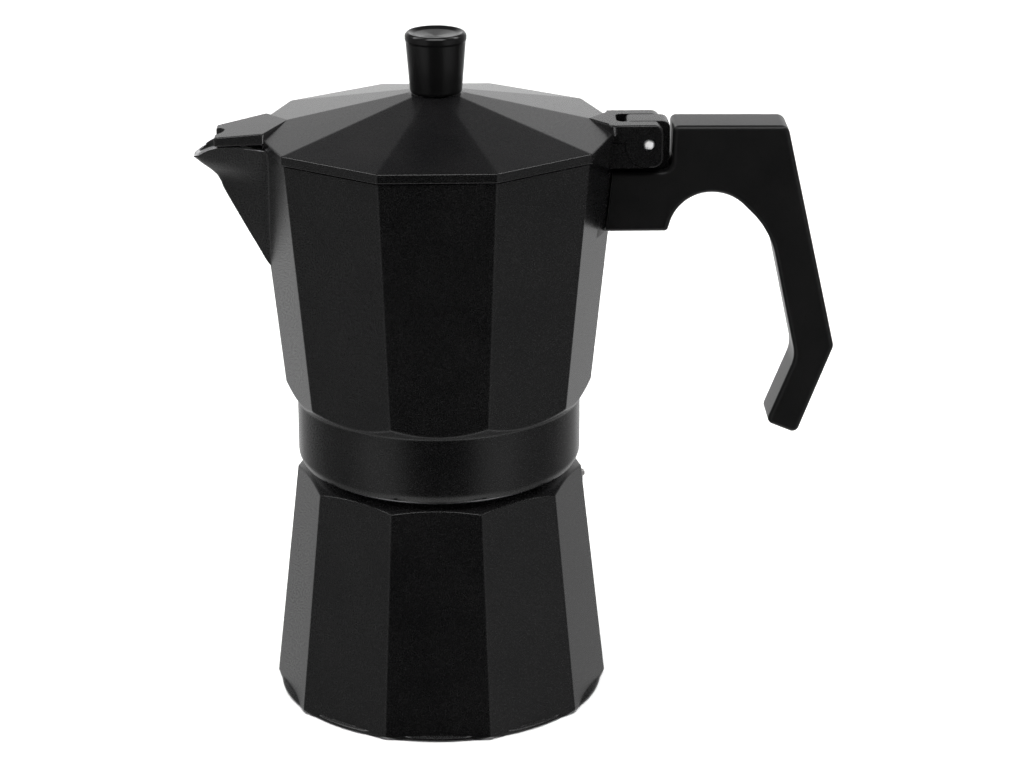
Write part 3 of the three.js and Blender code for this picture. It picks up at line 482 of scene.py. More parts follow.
def round_angles():
    """Angles dense at the facets' corners and over the spout."""
    near = [0.0, 0.12, 0.24, 0.36, 0.5, 0.7, 1.0]
    offsets = near + [-n for n in near] + [1.5 * k for k in range(-11, 13)]
    degrees = {round((36.0 * k + o) % 360, 3) for k in range(SIDES) for o in offsets}
    degrees |= {round(162 + 0.5 * k, 3) for k in range(73)}
    return np.array(sorted(degrees)) * DEG


ANGLES = round_angles()


def faceted(corner, rounding=EDGE):
    """Radius of a ten-sided section with rounded corners at 0, 36, 72 ... degrees."""
    apothem = corner * COS_SIDE
    from_corner = np.abs((ANGLES + HALF_SIDE) % (2 * HALF_SIDE) - HALF_SIDE)
    flat = apothem / np.cos(HALF_SIDE - from_corner)
    centre = (apothem - rounding) / COS_SIDE
    bow = np.maximum(rounding ** 2 - (centre * np.sin(from_corner)) ** 2, 0)
    arc = centre * np.cos(from_corner) + np.sqrt(bow)
    touch = HALF_SIDE - math.atan((apothem - rounding) * TAN_SIDE / apothem)
    return np.where(from_corner < touch, arc, flat)


def soft_min(a, b, blend=0.25):
    low = np.minimum(a, b)
    return low - blend * np.log(np.exp(-(a - low) / blend) + np.exp(-(b - low) / blend))


def soft_max(a, b, blend=0.25):
    return -soft_min(-a, -b, blend)


def thread(z, start, turns):
    """Height of a helical ridge, 0 to 1, over the angle at height z."""
    part = ANGLES / (2 * math.pi)
    along = part + np.round((z - start) / THREAD_PITCH - part)
    away = np.abs(z - start - THREAD_PITCH * along)
    ends = np.clip(np.minimum(along, turns - along) * 8 + 0.1, 0, 1)
    ends = np.where((along < 0) | (along > turns), 0, ends)
    return np.clip((RIDGE_HALF - away) / RIDGE_FLANK, 0, 1) * ends


def polar_shell(name, rings, materials, turn=0.0, cap_first=False, cap_last=False):
    """Rings of (radius, height, material) over ANGLES; without caps the last joins the first."""
    count = len(ANGLES)
    places, kinds = [], []
    for radius, height, kind in rings:
        r = np.broadcast_to(radius, ANGLES.shape)
        z = np.broadcast_to(height, ANGLES.shape)
        places.append(np.stack([r * np.cos(ANGLES + turn), r * np.sin(ANGLES + turn), z], axis=1))
        kinds.append(kind)
    total = len(rings)
    closed = not (cap_first or cap_last)
    if closed:
        places.append(places[0])
        total += 1
    faces = ring_faces(total, count, cap_first, cap_last)
    face_material = [kinds[level] for level in range(total - 1) for _ in range(count)]
    if cap_first:
        face_material.append(kinds[0])
    if cap_last:
        face_material.append(kinds[-1])
    return mesh_piece(name, np.concatenate(places).tolist(), faces, materials, face_material)


# ---- Boiler -------------------------------------------------------------------------------

def boiler_corner(z):
    flare = BOILER_BASE_RADIUS - BOILER_TOP_RADIUS
    return BOILER_TOP_RADIUS + flare * (BOILER_HEIGHT - z) / (BOILER_HEIGHT - 1.0)


def boiler_outside():
    """Rings up the foot, the facets and the turned shoulder."""
    rings = [(0.01, 0.4, 0), (39.4, 0.4, 0), (40.0, 0.3, 0), (40.4, 0.05, 0), (40.9, 0.0, 0),
             (47.7, 0.0, 0), (48.3, 0.1, 0)]
    for z, past in FOOT_EDGE:
        cut_corner = FOOT_RADIUS + 1.25 * min(z, 1.0) + 3 * max(z - 1.0, 0)
        facets = soft_min(faceted(boiler_corner(z)), cut_corner)
        rings.append((np.maximum(FOOT_RADIUS + past, facets), z, 0))
    heights = [1.5, 2.0, 3.0, 5.0, *np.arange(10, BOILER_HEIGHT - 2, 5.0)]
    heights += [*np.arange(BOILER_HEIGHT - 0.7, BOILER_HEIGHT + 1.5, 0.06)]
    heights += [*np.arange(BOILER_HEIGHT + 1.6, NECK_FOOT - 0.1, 0.25)]
    for z in heights:
        shoulder = BOILER_TOP_RADIUS + (BOILER_HEIGHT - z) / SHOULDER_SLOPE
        rings.append((soft_min(faceted(boiler_corner(z)), shoulder, 0.12), z, 0))
    return rings


def boiler_inside():
    """Rings from the neck's mouth down to the middle of the floor."""
    def wall(z):
        return boiler_corner(z) * COS_SIDE - BOILER_WALL

    ceiling = BOILER_HEIGHT - 3.6
    return [(NECK_RADIUS, NECK_TOP - 0.6, 1), (NECK_RADIUS - 0.2, NECK_TOP - 0.2, 1),
            (NECK_RADIUS - 0.6, NECK_TOP, 1), (NECK_BORE + 0.5, NECK_TOP, 1),
            (NECK_BORE + 0.1, NECK_TOP - 0.2, 1), (NECK_BORE, NECK_TOP - 0.6, 1),
            (NECK_BORE, ceiling + 3.3, 1), (NECK_BORE + 0.3, ceiling + 2.7, 1),
            (wall(ceiling) - 0.5, ceiling + 0.3, 1), (wall(ceiling - 1), ceiling - 1, 1),
            (wall(30), 30, 1), (wall(6), 6, 1), (wall(6) - 0.8, 4.4, 1),
            (wall(6) - 2.5, BOILER_FLOOR, 1), (0.01, BOILER_FLOOR, 1)]


def boiler():
    neck = [(NECK_RADIUS + 0.15, NECK_FOOT - 0.05, 1)]
    for z in np.arange(NECK_FOOT + 0.1, NECK_TOP - 0.7, 0.25):
        ridge_height = THREAD_DEPTH * thread(z, NECK_FOOT + THREAD_START, MALE_TURNS)
        neck.append((NECK_RADIUS + ridge_height, z, 1))
    rings = boiler_outside() + neck + boiler_inside()
    piece = polar_shell("boiler_shell", rings, [COATING, ALUMINIUM], BOILER_TWIST, True, True)
    hole = turned_piece("hole", [(3.85, -8), (3.85, 6)], [], 32)
    hole.data.transform(VALVE_PLACE)
    combine(piece, [hole], "DIFFERENCE")
    return finish_piece(piece, "base", "black_coating", "boiler")


# ---- Safety valve -------------------------------------------------------------------------

VALVE_TURN = HALF_SIDE + BOILER_TWIST
VALVE_HEIGHT = BOILER_HEIGHT - 8.1
VALVE_TILT = math.atan((BOILER_BASE_RADIUS - BOILER_TOP_RADIUS) * COS_SIDE / (BOILER_HEIGHT - 1.0))


def valve_place():
    """Turns a piece made along Z out of the middle of the boiler's facet."""
    apothem = boiler_corner(VALVE_HEIGHT) * COS_SIDE
    middle = Vector((apothem * math.cos(VALVE_TURN), apothem * math.sin(VALVE_TURN), VALVE_HEIGHT))
    lean = Matrix.Rotation(math.pi / 2 - VALVE_TILT, 4, "Y")
    return Matrix.Translation(middle * MM) @ Matrix.Rotation(VALVE_TURN, 4, "Z") @ lean


VALVE_PLACE = valve_place()


def valve_body():
    """Hexagon with turned corners, its nose, and its stem through the wall."""
    turns = [k * 60 * DEG + 30 * DEG for k in range(6)]
    hexagon = [(VALVE_HEX_RADIUS * math.cos(t), VALVE_HEX_RADIUS * math.sin(t)) for t in turns]
    levels = [[(x, y, z) for x, y in hexagon] for z in (VALVE_HEX_FOOT, VALVE_HEX_TOP)]
    body = bevel_edges(loft_piece("valve_hexagon", levels, [STEEL]), 0.12, 2)
    turned_corners = [(0, 0), (4.3, 1.0), (4.75, 1.4), (4.75, 2.35), (4.2, 2.65), (0, 4)]
    combine(body, [turned_piece("chamfer", turned_corners, [], 64)], "INTERSECT")
    radius, nose, top = VALVE_STEM_RADIUS, VALVE_NOSE_RADIUS, VALVE_NOSE_TOP
    profile = [(0, VALVE_STEM_FOOT), (radius - 0.3, VALVE_STEM_FOOT), (radius, VALVE_STEM_FOOT + 0.3),
               (radius, 1.4), (nose, 2), (nose, top - 0.4), (nose - 0.1, top - 0.15), (nose - 0.3, top),
               (0, top)]
    combine(body, [turned_piece("stem", profile, [STEEL], 48)], "UNION")
    bore = turned_piece("bore", [(VALVE_BORE, -4.8), (VALVE_BORE, 6)], [], 48)
    steam = turned_piece("steam", [(STEAM_HOLE, -7), (STEAM_HOLE, -4)], [], 24)
    combine(body, [bore, steam], "DIFFERENCE")
    body.data.materials.clear()
    body.data.materials.append(STEEL)
    return body


def valve_cap():
    """The ring rolled into the nose."""
    profile = [(1.4, 2.1), (2.1, 2.1), (2.1, 2.9), (1.9, 3.15), (1.6, 3.15), (1.4, 2.95)]
    return turned_piece("valve_cap_ring", profile, [STEEL], 48, closed=True)


def valve_plunger():
    """The pin that stands out of the nose, and its sealing plate."""
    pin, top = PLUNGER_RADIUS, PLUNGER_TOP
    profile = [(0, -3.4), (1.6, -3.4), (1.8, -3.2), (1.8, -2.8), (1.6, -2.6), (pin, -2.6), (pin, top - 0.5),
               (pin - 0.2, top - 0.15), (0.5, top), (0, top)]
    return turned_piece("valve_pin", profile, [STEEL], 32)


def valve():
    for piece, body, node in ((valve_body(), "base", "valve_body"), (valve_cap(), "base", "valve_cap"),
                              (valve_plunger(), "plunger", "valve_plunger")):
        piece.data.transform(VALVE_PLACE)
        finish_piece(piece, body, "steel", node)


# ---- Upper vessel -------------------------------------------------------------------------

def vessel_corner(z):
    flare = VESSEL_TOP_RADIUS - VESSEL_FOOT_RADIUS
    return VESSEL_FOOT_RADIUS + flare * (z - VESSEL_FOOT) / (VESSEL_TOP - VESSEL_FOOT)


def smooth_through(x, xs, ys):
    """A Catmull-Rom curve through the points, at x."""
    x = min(max(x, xs[0]), xs[-1])
    i = min(max(int(np.searchsorted(xs, x)) - 1, 0), len(xs) - 2)
    slope = np.gradient(np.array(ys), np.array(xs))
    h = xs[i + 1] - xs[i]
    t = (x - xs[i]) / h
    return ((2 * t ** 3 - 3 * t ** 2 + 1) * ys[i] + (t ** 3 - 2 * t ** 2 + t) * h * slope[i]
            + (3 * t ** 2 - 2 * t ** 3) * ys[i + 1] + (t ** 3 - t ** 2) * h * slope[i + 1])


def spout_radius(z, inset_by=0.0):
    """Radius of the beak's wedge with its round nose, over the angle; zero away from it."""
    drop = VESSEL_TOP - z
    if drop > SPOUT_HEIGHT - 0.5:
        return np.zeros_like(ANGLES)
    half = SPOUT_HALF_WIDTH * (SPOUT_HEIGHT - drop) / SPOUT_HEIGHT - 1.1 * inset_by
    reach = smooth_through(drop, SPOUT_DROPS, SPOUT_REACHES)
    tip = vessel_corner(z) + reach - 1.25 * inset_by
    foot = vessel_corner(z) - half * TAN_SIDE - inset_by
    nose = smooth_through(drop, SPOUT_DROPS, SPOUT_NOSES) - 0.5 * inset_by
    nose = max(0.25, min(nose, (tip - foot) * 0.4))
    if half < 0.6 or tip - foot < 0.5:
        return np.zeros_like(ANGLES)
    centre = tip - nose
    away = math.hypot(foot - centre, half)
    if away <= nose:
        return np.zeros_like(ANGLES)
    facing = math.atan2(half, foot - centre) - math.acos(nose / away)
    phi = np.abs(ANGLES - math.pi)
    side = (centre * math.cos(facing) + nose) / np.maximum(np.cos(phi - facing), 1e-3)
    bow = np.maximum(nose ** 2 - (centre * np.sin(phi)) ** 2, 0)
    round_nose = centre * np.cos(phi) + np.sqrt(bow)
    touch = math.atan2(nose * math.sin(facing), centre + nose * math.cos(facing))
    radius = np.where(phi < touch, round_nose, side)
    return np.where(phi < 20 * DEG, radius, 0.0)


def lip_drop(radius):
    """How far the rim lies below the vessel's top, from the distance to the beak's tip."""
    tip = VESSEL_TOP_RADIUS + SPOUT_REACHES[1]
    away = np.clip(tip - radius * np.cos(np.abs(ANGLES - math.pi)), 0, LIP_LENGTH)
    a = LIP_LENGTH - 2 * LIP_SOFT
    t = (-2 * LIP_SOFT + np.sqrt(4 * LIP_SOFT ** 2 + 4 * a * away)) / (2 * a)
    return LIP_DROP * (1 - np.clip(t, 0, 1)) ** 2


def outer_radius(z):
    return soft_max(faceted(vessel_corner(z)), spout_radius(z), 0.35)


def inner_radius(z):
    wall = faceted(vessel_corner(z) - VESSEL_WALL / COS_SIDE, 2.5)
    return soft_max(wall, spout_radius(z, SPOUT_WALL), 0.5)


def lowered(z, radius_at):
    """Heights of the level z where the rim dips towards the beak's tip, and the radii there."""
    bend = VESSEL_TOP - LIP_BEND
    if z <= bend:
        return radius_at(z), np.full_like(ANGLES, z)
    share = (z - bend) / (VESSEL_TOP - bend)
    beak = np.abs(ANGLES - math.pi) < 19 * DEG
    radii = radius_at(z)
    for _ in range(4):
        heights = np.where(beak, z - share * lip_drop(radii), z)
        levels = np.linspace(heights.min() - 0.01, z, 24)
        table = np.stack([radius_at(level) for level in levels])
        spot = np.clip((heights - levels[0]) / (levels[1] - levels[0]), 0, len(levels) - 1.001)
        low = spot.astype(int)
        part = spot - low
        index = np.arange(len(ANGLES))
        radii = table[low, index] * (1 - part) + table[low + 1, index] * part
    return radii, heights


def vessel_outside():
    """Rings up the collar, the turned step and the facets to the rim."""
    rings = [(COLLAR_RADIUS + past, COLLAR_BOTTOM + up, 0) for past, up in COLLAR_EDGE]
    rings.append((COLLAR_RADIUS, COLLAR_TOP - 1.2, 0))
    for z in np.arange(COLLAR_TOP - 0.8, COLLAR_TOP + 5.0, 0.2):
        spread = COLLAR_RADIUS + soft_max(0.0, (z - COLLAR_TOP) / SPREAD_SLOPE, 0.2)
        rings.append((soft_min(faceted(vessel_corner(z)), spread, 0.16), z, 0))
    for z in np.arange(COLLAR_TOP + 6.5, VESSEL_TOP - 1.5, 2.2):
        rings.append((*lowered(z, outer_radius), 0))
    return rings


def vessel_rim():
    """Rings over the rounded rim, bare metal from its outer edge inwards."""
    rings = []
    radii, levels = lowered(VESSEL_TOP - 0.001, outer_radius)
    for depth, inward, kind in ((0.5, 0.0, 0), (0.15, 0.1, 1), (0.0, 0.45, 1)):
        rings.append((radii - inward, levels - depth, kind))
    radii, levels = lowered(VESSEL_TOP - 0.001, inner_radius)
    for depth, outward in ((0.0, 0.45), (0.15, 0.1), (0.6, 0.0)):
        rings.append((radii + outward, levels - depth, 1))
    return rings


def vessel_inside():
    """Rings down the inner wall, over the floor's cone and up the column's boss."""
    floor = VESSEL_FLOOR
    rings = [(*lowered(z, inner_radius), 1) for z in np.arange(VESSEL_TOP - 2.5, floor + 3, -3.0)]
    wall = faceted(vessel_corner(floor) - VESSEL_WALL / COS_SIDE, 2.5)
    rings += [(wall - 0.1, floor + 1.6, 1), (wall - 0.7, floor + 0.7, 1), (wall - 2.0, floor + 0.25, 1),
              (30.0, floor + 1.5, 1), (20.0, floor + 3.1, 1), (14.0, floor + 4.2, 1),
              (12.0, floor + 5.0, 1), (11.2, floor + 6.2, 1), (11.0, BOSS_TOP - 0.4, 1),
              (10.6, BOSS_TOP, 1), (5.7, BOSS_TOP, 1), (5.3, BOSS_TOP - 0.4, 1)]
    return rings


def vessel_underside():
    """Rings from the column's bore out over the gasket's seat and down the collar's thread."""
    rings = [(5.3, GASKET_SEAT + 7.6, 1), (6.0, GASKET_SEAT + 7.2, 1), (29.6, GASKET_SEAT + 0.2, 1),
             (30.2, GASKET_SEAT, 1), (GASKET_ROOM - 0.2, GASKET_SEAT, 1),
             (GASKET_ROOM, GASKET_SEAT - 0.2, 1), (GASKET_ROOM, NECK_TOP + 0.6, 1),
             (COLLAR_BORE, NECK_TOP + 0.3, 1)]
    start = NECK_FOOT + THREAD_START - THREAD_PITCH / 2
    for z in np.arange(NECK_TOP, COLLAR_BOTTOM + 0.5, -0.25):
        rings.append((COLLAR_BORE - THREAD_DEPTH * thread(z, start, FEMALE_TURNS), z, 1))
    rings += [(COLLAR_BORE + 0.05, COLLAR_BOTTOM + 0.2, 1), (COLLAR_BORE + 0.3, COLLAR_BOTTOM, 1)]
    return rings


def ear_circle(name, radius, y0, y1, steps=96):
    return across_y(turned_piece(name, [(radius, y0), (radius, y1)], [COATING], steps), HINGE_X, HINGE_Z)


HANDLE_HALF = 7.75
PAD_HALF = 13.25
MOUNT_FOOT = VESSEL_TOP - 27.0
LUG_FOOT = MOUNT_FOOT + 7.4
LUG_RIGHT = 6.3
TAB_TOP = LID_POINT - LID_SLOPE * FORK_START


def hinge_bracket():
    """Cheeks that fill the corner under the lid's ears, and the lug that the lid turns on."""
    inner = VESSEL_TOP_RADIUS - VESSEL_WALL - 1.2
    foot = HINGE_Z - EAR_RADIUS
    outline = rounded_corners([(inner, foot), (HINGE_X, foot), (HINGE_X, VESSEL_TOP), (inner, VESSEL_TOP)])
    cheeks = side_piece("cheeks", outline, -FORK_HALF, FORK_HALF, [COATING], 0.12, 2)
    rooms = [ear_circle("room", EAR_RADIUS + 0.2, y0, y1) for y0, y1 in
             ((-FORK_HALF - 1, -LUG_HALF - 0.2), (LUG_HALF + 0.2, FORK_HALF + 1))]
    combine(cheeks, rooms, "DIFFERENCE")
    corners = [(inner, LUG_FOOT), (HINGE_X + LUG_RIGHT, LUG_FOOT, 1.6), (HINGE_X + LUG_RIGHT, TAB_TOP, 2.2),
               (HINGE_X - 6.5, TAB_TOP, 1.6), (HINGE_X - 6.5, VESSEL_TOP, 0.4), (inner, VESSEL_TOP)]
    lug = side_piece("lug", rounded_corners(corners), -LUG_HALF, LUG_HALF, [COATING], 0.35, 3)
    return [cheeks, lug]


def pad_face(z):
    """How far out the flat between the two facets lies, behind the handle."""
    return vessel_corner(z) - 0.7 * HANDLE_HALF * TAN_SIDE


def handle_pad():
    """Evens out the two facets where the handle meets the wall."""
    def level(z):
        face, edge = pad_face(z), vessel_corner(z) - PAD_HALF * TAN_SIDE
        return [(edge - 1.5, -PAD_HALF, z), (edge, -PAD_HALF, z), (face, -HANDLE_HALF, z),
                (face, HANDLE_HALF, z), (edge, PAD_HALF, z), (edge - 1.5, PAD_HALF, z)]
    return loft_piece("pad", [level(MOUNT_FOOT), level(HINGE_Z - EAR_RADIUS - 1.3)], [COATING])


def upper_vessel():
    rings = vessel_outside() + vessel_rim() + vessel_inside() + vessel_underside()
    piece = polar_shell("vessel_shell", rings, [COATING, ALUMINIUM])
    combine(piece, [handle_pad(), *hinge_bracket()], "UNION")
    pin_hole = ear_circle("pin_hole", PIN_HOLE, -LUG_HALF - 1, LUG_HALF + 1, 32)
    combine(piece, [pin_hole], "DIFFERENCE")
    return finish_piece(piece, "vessel", "black_coating", "upper_vessel", sharp=30)


def column():
    foot, top = BOSS_TOP + 0.3, column_high.z
    profile = [(0, column_low.z), (4.9, column_low.z), (5.0, column_low.z + 0.2), (5.0, foot), (7.2, foot),
               (7.5, foot + 0.3), (7.3, foot + 4), (5.45, top - 2.6), (5.3, top - 1.6), (4.8, top - 0.7),
               (3.9, top - 0.15), (3.0, top), (0, top)]
    piece = turned_piece("column_tube", profile, [ALUMINIUM], 72)
    bore = turned_piece("bore", [(2.8, column_low.z - 2), (2.8, top - 2.5)], [], 32)
    slots = block("slots", (-2.3, -9, top - 7), (2.3, 9, top - 3))
    combine(piece, [bore, bevel_edges(slots, 0.6, 3)], "DIFFERENCE")
    return finish_piece(piece, "vessel", "bare_aluminium", "column")


# ---- Lid ----------------------------------------------------------------------------------

def ten_sided(name, levels, materials):
    outlines = [[(r * math.cos(k * 36 * DEG), r * math.sin(k * 36 * DEG), z) for k in range(SIDES)]
                for r, z in levels]
    return loft_piece(name, outlines, materials)


def ridge(x):
    return LID_POINT - LID_SLOPE * x


def tab(name, side, start, slope, outline):
    """A plate that leaves the pyramid's ridge at start; each corner is (x, y, spread of its foot)."""
    def height(x):
        return ridge(start) - slope * (x - start)

    foot = [(side * x, y * spread, height(x) - TAB_THICKNESS) for x, y, spread in outline]
    top = [(side * x, y, height(x)) for x, y, _ in outline]
    return bevel_edges(loft_piece(name, [foot, top], [COATING]), 0.45, 3)


def spout_tab():
    tip, root = LID_RADIUS + 10.0, 49.3
    outline = [(TAB_START, 0, 1), (root, 12.0, 1.2), (tip, 7.4, 1.05), (tip, -7.4, 1.05),
               (root, -12.0, 1.2)]
    piece = tab("spout_tab", -1, TAB_START, TAB_SLOPE, outline)
    notch = turned_piece("notch", [(4.0, LID_BOTTOM - 6), (4.0, LID_POINT)], [], 48, (-tip - 1.3, 0.0))
    return combine(piece, [notch], "DIFFERENCE")


def hinge_fork():
    root = LID_RADIUS - 2.7
    outline = [(FORK_START, 0, 1), (root, -FORK_HALF, 1.35), (root + 1, -FORK_HALF, 1),
               (root + 1, FORK_HALF, 1), (root, FORK_HALF, 1.35)]
    plate = tab("hinge_plate", 1, FORK_START, 0.0, outline)
    back, foot = HINGE_X + FORK_REACH, HINGE_Z - EAR_RADIUS
    drop = HINGE_Z - LID_BOTTOM
    reach = math.sqrt(EAR_RADIUS ** 2 - drop ** 2)
    start, end = math.atan2(-drop, -reach) % (2 * math.pi), 1.5 * math.pi
    arc = [(HINGE_X + EAR_RADIUS * math.cos(a), HINGE_Z + EAR_RADIUS * math.sin(a))
           for a in np.linspace(start, end, 16)]
    right = [(HINGE_X, foot), (back, foot, 3.0), (back, TAB_TOP, 2.6), (root - 1.5, TAB_TOP)]
    right = rounded_corners(right, 10, closed=False)
    rounded = [(root - 1.5, LID_BOTTOM), *arc, *right[1:]]
    ears = side_piece("ears", rounded, -FORK_HALF, FORK_HALF, [COATING], 0.7, 4)
    # fills the rounding where the ears turn in the vessel's cheeks
    square = [(root - 1.4, LID_BOTTOM), *arc, (HINGE_X + 0.2, HINGE_Z + 2), (root - 1.4, HINGE_Z + 2)]
    web = side_piece("web", square, -FORK_HALF, FORK_HALF, [COATING])
    return [plate, ears, web]


def lid():
    flat_radius = (LID_POINT - LID_FLAT) / LID_SLOPE
    rim_top = LID_BOTTOM + LID_RIM
    levels = [(LID_RADIUS, LID_BOTTOM), (LID_RADIUS, rim_top), (flat_radius, LID_FLAT)]
    piece = ten_sided("lid_shell", levels, [COATING])
    bevel_edges(piece, 0.5, 4, 8)
    combine(piece, [spout_tab(), *hinge_fork()], "UNION")
    inner = VESSEL_TOP_RADIUS - VESSEL_WALL / COS_SIDE - 1.4
    ceiling = LID_FLAT - 2.0
    hollow = ten_sided("hollow", [(inner, LID_BOTTOM - 1), (inner, ridge(inner) - 2.0),
                                  ((LID_POINT - 2.0 - ceiling) / LID_SLOPE, ceiling)], [])
    screw_hole = turned_piece("screw_hole", [(2.2, ceiling - 2), (2.2, LID_POINT + 2)], [], 32)
    half, root = LUG_HALF + 0.35, HINGE_X - 9.2
    slot = rounded_corners([(root, -half, SLOT_CORNER), (HINGE_X + 20, -half), (HINGE_X + 20, half),
                            (root, half, SLOT_CORNER)], 10)
    slot_cut = loft_piece("slot", [[(x, y, z) for x, y in slot] for z in (HINGE_Z - 20, HINGE_Z + 20)], [])
    pin_hole = ear_circle("pin_hole", PIN_HOLE, -FORK_HALF - 1, FORK_HALF + 1, 32)
    combine(piece, [hollow, screw_hole, slot_cut, pin_hole], "DIFFERENCE")
    return finish_piece(piece, "lid", "black_coating", "lid", sharp=32)


def knob():
    low, high = knob_low.z, knob_high.z
    profile = rounded_corners([(0, low), (7.3, low, 0.5), (7.55, low + 0.8, 0.8), (8.68, high - 2.9, 0.5),
                               (8.9, high - 2.3, 0.5), (8.9, high - 1.0, 0.9), (8.1, high, 0.8),
                               (6.2, high - 0.8, 3.0), (0, high - 1.5)],
                              6, closed=False)
    piece = turned_piece("knob_body", profile, [KNOB_PLASTIC], 128)
    pocket = turned_piece("pocket", [(3.8, low - 1), (3.8, low + 8.8)], [], 48)
    combine(piece, [pocket], "DIFFERENCE")
    return finish_piece(piece, "lid", "black_plastic", "lid_knob")


def hinge_pin():
    low, high = pin_low.y, pin_high.y
    dome = [(0.0, 0.0), (0.45, 0.03), (0.85, 0.12), (1.2, 0.27), (1.45, 0.48), (1.6, 0.8)]
    profile = [(r, low + d) for r, d in dome] + [(r, high - d) for r, d in reversed(dome)]
    piece = across_y(turned_piece("pin", profile, [PIN_STEEL], 48), HINGE_X, HINGE_Z)
    return finish_piece(piece, "vessel", "steel", "hinge_pin")


# ---- Handle -------------------------------------------------------------------------------

HANDLE_FILLET = 1.5
# corners past the pin's axis, above the mount's lower face, and their radii
HANDLE_CORNERS = [(-13.0, 0.0), (5.7, 0.0, 1.3), (9.2, 11.55, 12.3), (23.95, 11.55, 13.3),
                  (35.75, -0.25, 26.0), (44.05, -38.9, 10.0), (35.97, -59.3, 1.9), (45.05, -63.1, 2.0),
                  (55.39, -35.8, 2.6), (40.15, 31.3, 2.6)]


def handle():
    foot = MOUNT_FOOT
    corners = [(HINGE_X + c[0], foot + c[1], *c[2:]) for c in HANDLE_CORNERS]
    recess_z = HINGE_Z - EAR_RADIUS - 1.6
    corners += [(HINGE_X + 7.0, TAB_TOP - 0.7, 1.7), (HINGE_X + 6.7, recess_z, 3.0),
                (HINGE_X - 13.0, recess_z)]
    outline = rounded_corners(corners, 12)
    piece = side_piece("handle_body", outline, -HANDLE_HALF, HANDLE_HALF, [PLASTIC], HANDLE_FILLET, 5)

    def level(z):
        corner = vessel_corner(z) + 0.3 / COS_SIDE
        face = pad_face(z) + 0.3
        meet = (corner - face) / TAN_SIDE
        away = HANDLE_HALF + 2
        return [(face - 15, -away, z), (face, -away, z), (face, -meet, z), (corner, 0, z), (face, meet, z),
                (face, away, z), (face - 15, away, z)]
    wall = loft_piece("wall", [level(foot - 5), level(VESSEL_TOP)], [])
    lug_slot = block("lug_slot", (HINGE_X - 16, -LUG_HALF - 0.3, LUG_FOOT - 0.3),
                     (HINGE_X + LUG_RIGHT + 0.25, LUG_HALF + 0.3, VESSEL_TOP + 9))
    axis = (HINGE_X - 3.0, 0.0)
    shank = turned_piece("shank", [(2.2, foot - 2), (2.2, LUG_FOOT + 1)], [], 24, axis)
    head = turned_piece("head", [(4.2, foot - 2), (4.2, foot + 3.2)], [], 48, axis)
    combine(piece, [wall, lug_slot, shank, head], "DIFFERENCE")
    return finish_piece(piece, "vessel", "black_plastic", "handle")


# ---- Stage: floor, light, camera ----------------------------------------------------------

def stage():
    material, shader = node_material("pale_floor", (0.93, 0.93, 0.93), 0.0, 0.9, 0.1)
    floor = mesh_piece("floor", [(-9000, -9000, 0), (9000, -9000, 0), (9000, 9000, 0), (-9000, 9000, 0)],
                       [(0, 1, 2, 3)], [material])
    floor.location.z = -0.02 * MM
    floor.visible_glossy = False


# brightness of the surroundings round the pot (0 in front, 1 behind) and by height
WORLD_ROUND = [(0.0, 0.015), (0.12, 0.035), (0.2, 0.42), (0.3, 0.5), (0.4, 0.26), (0.48, 0.18),
               (0.6, 0.2), (0.7, 0.34), (0.8, 0.53), (0.9, 1.0), (1.0, 1.2)]
WORLD_HEIGHT = [(-1.0, 0.9), (0.12, 1.0), (0.28, 0.84), (0.42, 0.5), (0.54, 0.12), (0.62, 0.0), (1.0, 0.0)]
# the lit table straight below, seen by surfaces that lean outwards
WORLD_BELOW = [(-1.0, 0.7), (-0.93, 0.6), (-0.78, 0.1), (-0.6, 0.0)]


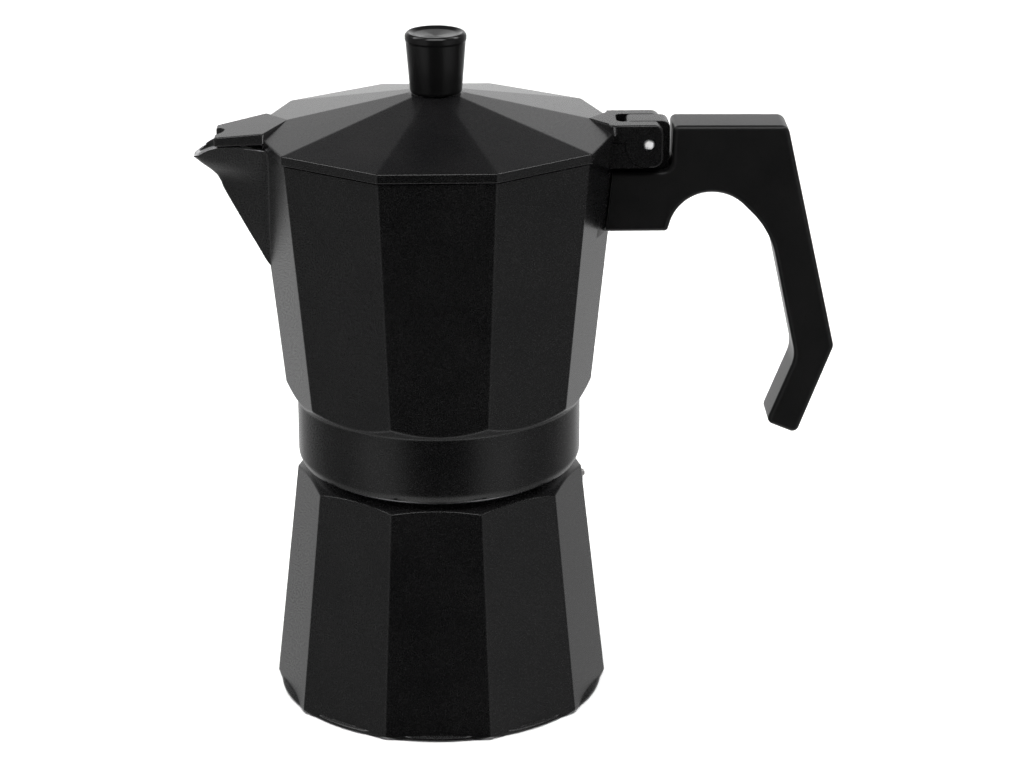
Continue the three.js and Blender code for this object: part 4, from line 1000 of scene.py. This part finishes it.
def world():
    """Soft white surroundings, bright behind and beside the pot, dark in front and above."""
    made = bpy.data.worlds.new("studio")
    bpy.context.scene.world = made
    made.use_nodes = True
    tree = made.node_tree
    background = tree.nodes["Background"]
    direction = tree.nodes.new("ShaderNodeTexCoord")
    split = tree.nodes.new("ShaderNodeSeparateXYZ")
    tree.links.new(direction.outputs["Generated"], split.inputs[0])

    def math_node(operation, first, second=None):
        node = tree.nodes.new("ShaderNodeMath")
        node.operation = operation
        for socket, value in zip(node.inputs, (first, second)):
            if isinstance(value, bpy.types.NodeSocket):
                tree.links.new(value, socket)
            elif value is not None:
                socket.default_value = value
        return node.outputs[0]

    def ramp(source, stops):
        shift = tree.nodes.new("ShaderNodeMapRange")
        shift.inputs["From Min"].default_value = -1
        tree.links.new(source, shift.inputs["Value"])
        node = tree.nodes.new("ShaderNodeValToRGB")
        node.color_ramp.interpolation = "EASE"
        elements = node.color_ramp.elements
        while len(elements) < len(stops):
            elements.new(0.5)
        for element, (place, value) in zip(elements, stops):
            element.position = (place + 1) / 2
            element.color = (value, value, value, 1)
        tree.links.new(shift.outputs["Result"], node.inputs["Fac"])
        return node.outputs["Color"]

    side = math_node("ABSOLUTE", split.outputs["X"])
    front = math_node("MULTIPLY", split.outputs["Y"], -1.0)
    around = math_node("DIVIDE", math_node("ARCTAN2", side, front), math.pi)
    depth = ramp(around, WORLD_ROUND)
    height = ramp(split.outputs["Z"], WORLD_HEIGHT)
    product = tree.nodes.new("ShaderNodeMix")
    product.data_type = "RGBA"
    product.blend_type = "MULTIPLY"
    product.inputs[0].default_value = 1.0
    tree.links.new(depth, product.inputs[6])
    tree.links.new(height, product.inputs[7])
    total = tree.nodes.new("ShaderNodeMix")
    total.data_type = "RGBA"
    total.blend_type = "ADD"
    total.inputs[0].default_value = 1.0
    tree.links.new(product.outputs[2], total.inputs[6])
    tree.links.new(ramp(split.outputs["Z"], WORLD_BELOW), total.inputs[7])
    tree.links.new(total.outputs[2], background.inputs["Color"])
    background.inputs["Strength"].default_value = 1.0


def soft_light(name, place, aim, size, energy, glossy=True):
    data = bpy.data.lights.new(name, "AREA")
    data.shape = "RECTANGLE"
    data.size, data.size_y = size
    data.energy = energy
    light = bpy.data.objects.new(name, data)
    bpy.context.scene.collection.objects.link(light)
    light.location = place
    light.rotation_mode = "QUATERNION"
    light.rotation_quaternion = (Vector(aim) - Vector(place)).to_track_quat("-Z", "Y")
    light.visible_glossy = glossy
    light.visible_camera = False


def camera():
    data = bpy.data.cameras.new("camera")
    data.lens = 109.8
    data.sensor_width = 36.0
    data.clip_start, data.clip_end = 0.05, 50
    made = bpy.data.objects.new("camera", data)
    bpy.context.scene.collection.objects.link(made)
    made.location = (-0.0007, -0.8746, 0.4049)
    yaw, pitch, roll = 1.47 * DEG, 19.58 * DEG, -0.07 * DEG
    ahead = Vector((math.sin(yaw) * math.cos(pitch), math.cos(yaw) * math.cos(pitch), -math.sin(pitch)))
    made.rotation_mode = "QUATERNION"
    level = ahead.to_track_quat("-Z", "Y")
    made.rotation_quaternion = level @ Matrix.Rotation(roll, 3, "Z").to_quaternion()
    bpy.context.scene.camera = made


camera()
stage()
world()
soft_light("overhead", (0.0, 0.1, 1.6), (0, 0, 0), (2.6, 2.6), 70, glossy=False)
soft_light("front_top", (0.0, -0.5, 1.3), (0, 0, 0.15), (1.1, 0.3), 6)
for side in (-1, 1):
    soft_light("side_top", (0.8 * side, 0.22, 1.2), (0, 0, 0.15), (0.3, 0.7), 3.5)
bpy.context.scene.view_settings.view_transform = "Standard"

for part in frame["record"]["subparts"]:
    node = frame["nodes"][part["node"]]
    node.data.materials.clear()
    node.data.materials.append(FINISHES[part["material_slot"]])

boiler()
valve()
upper_vessel()
column()
lid()
knob()
hinge_pin()
handle()
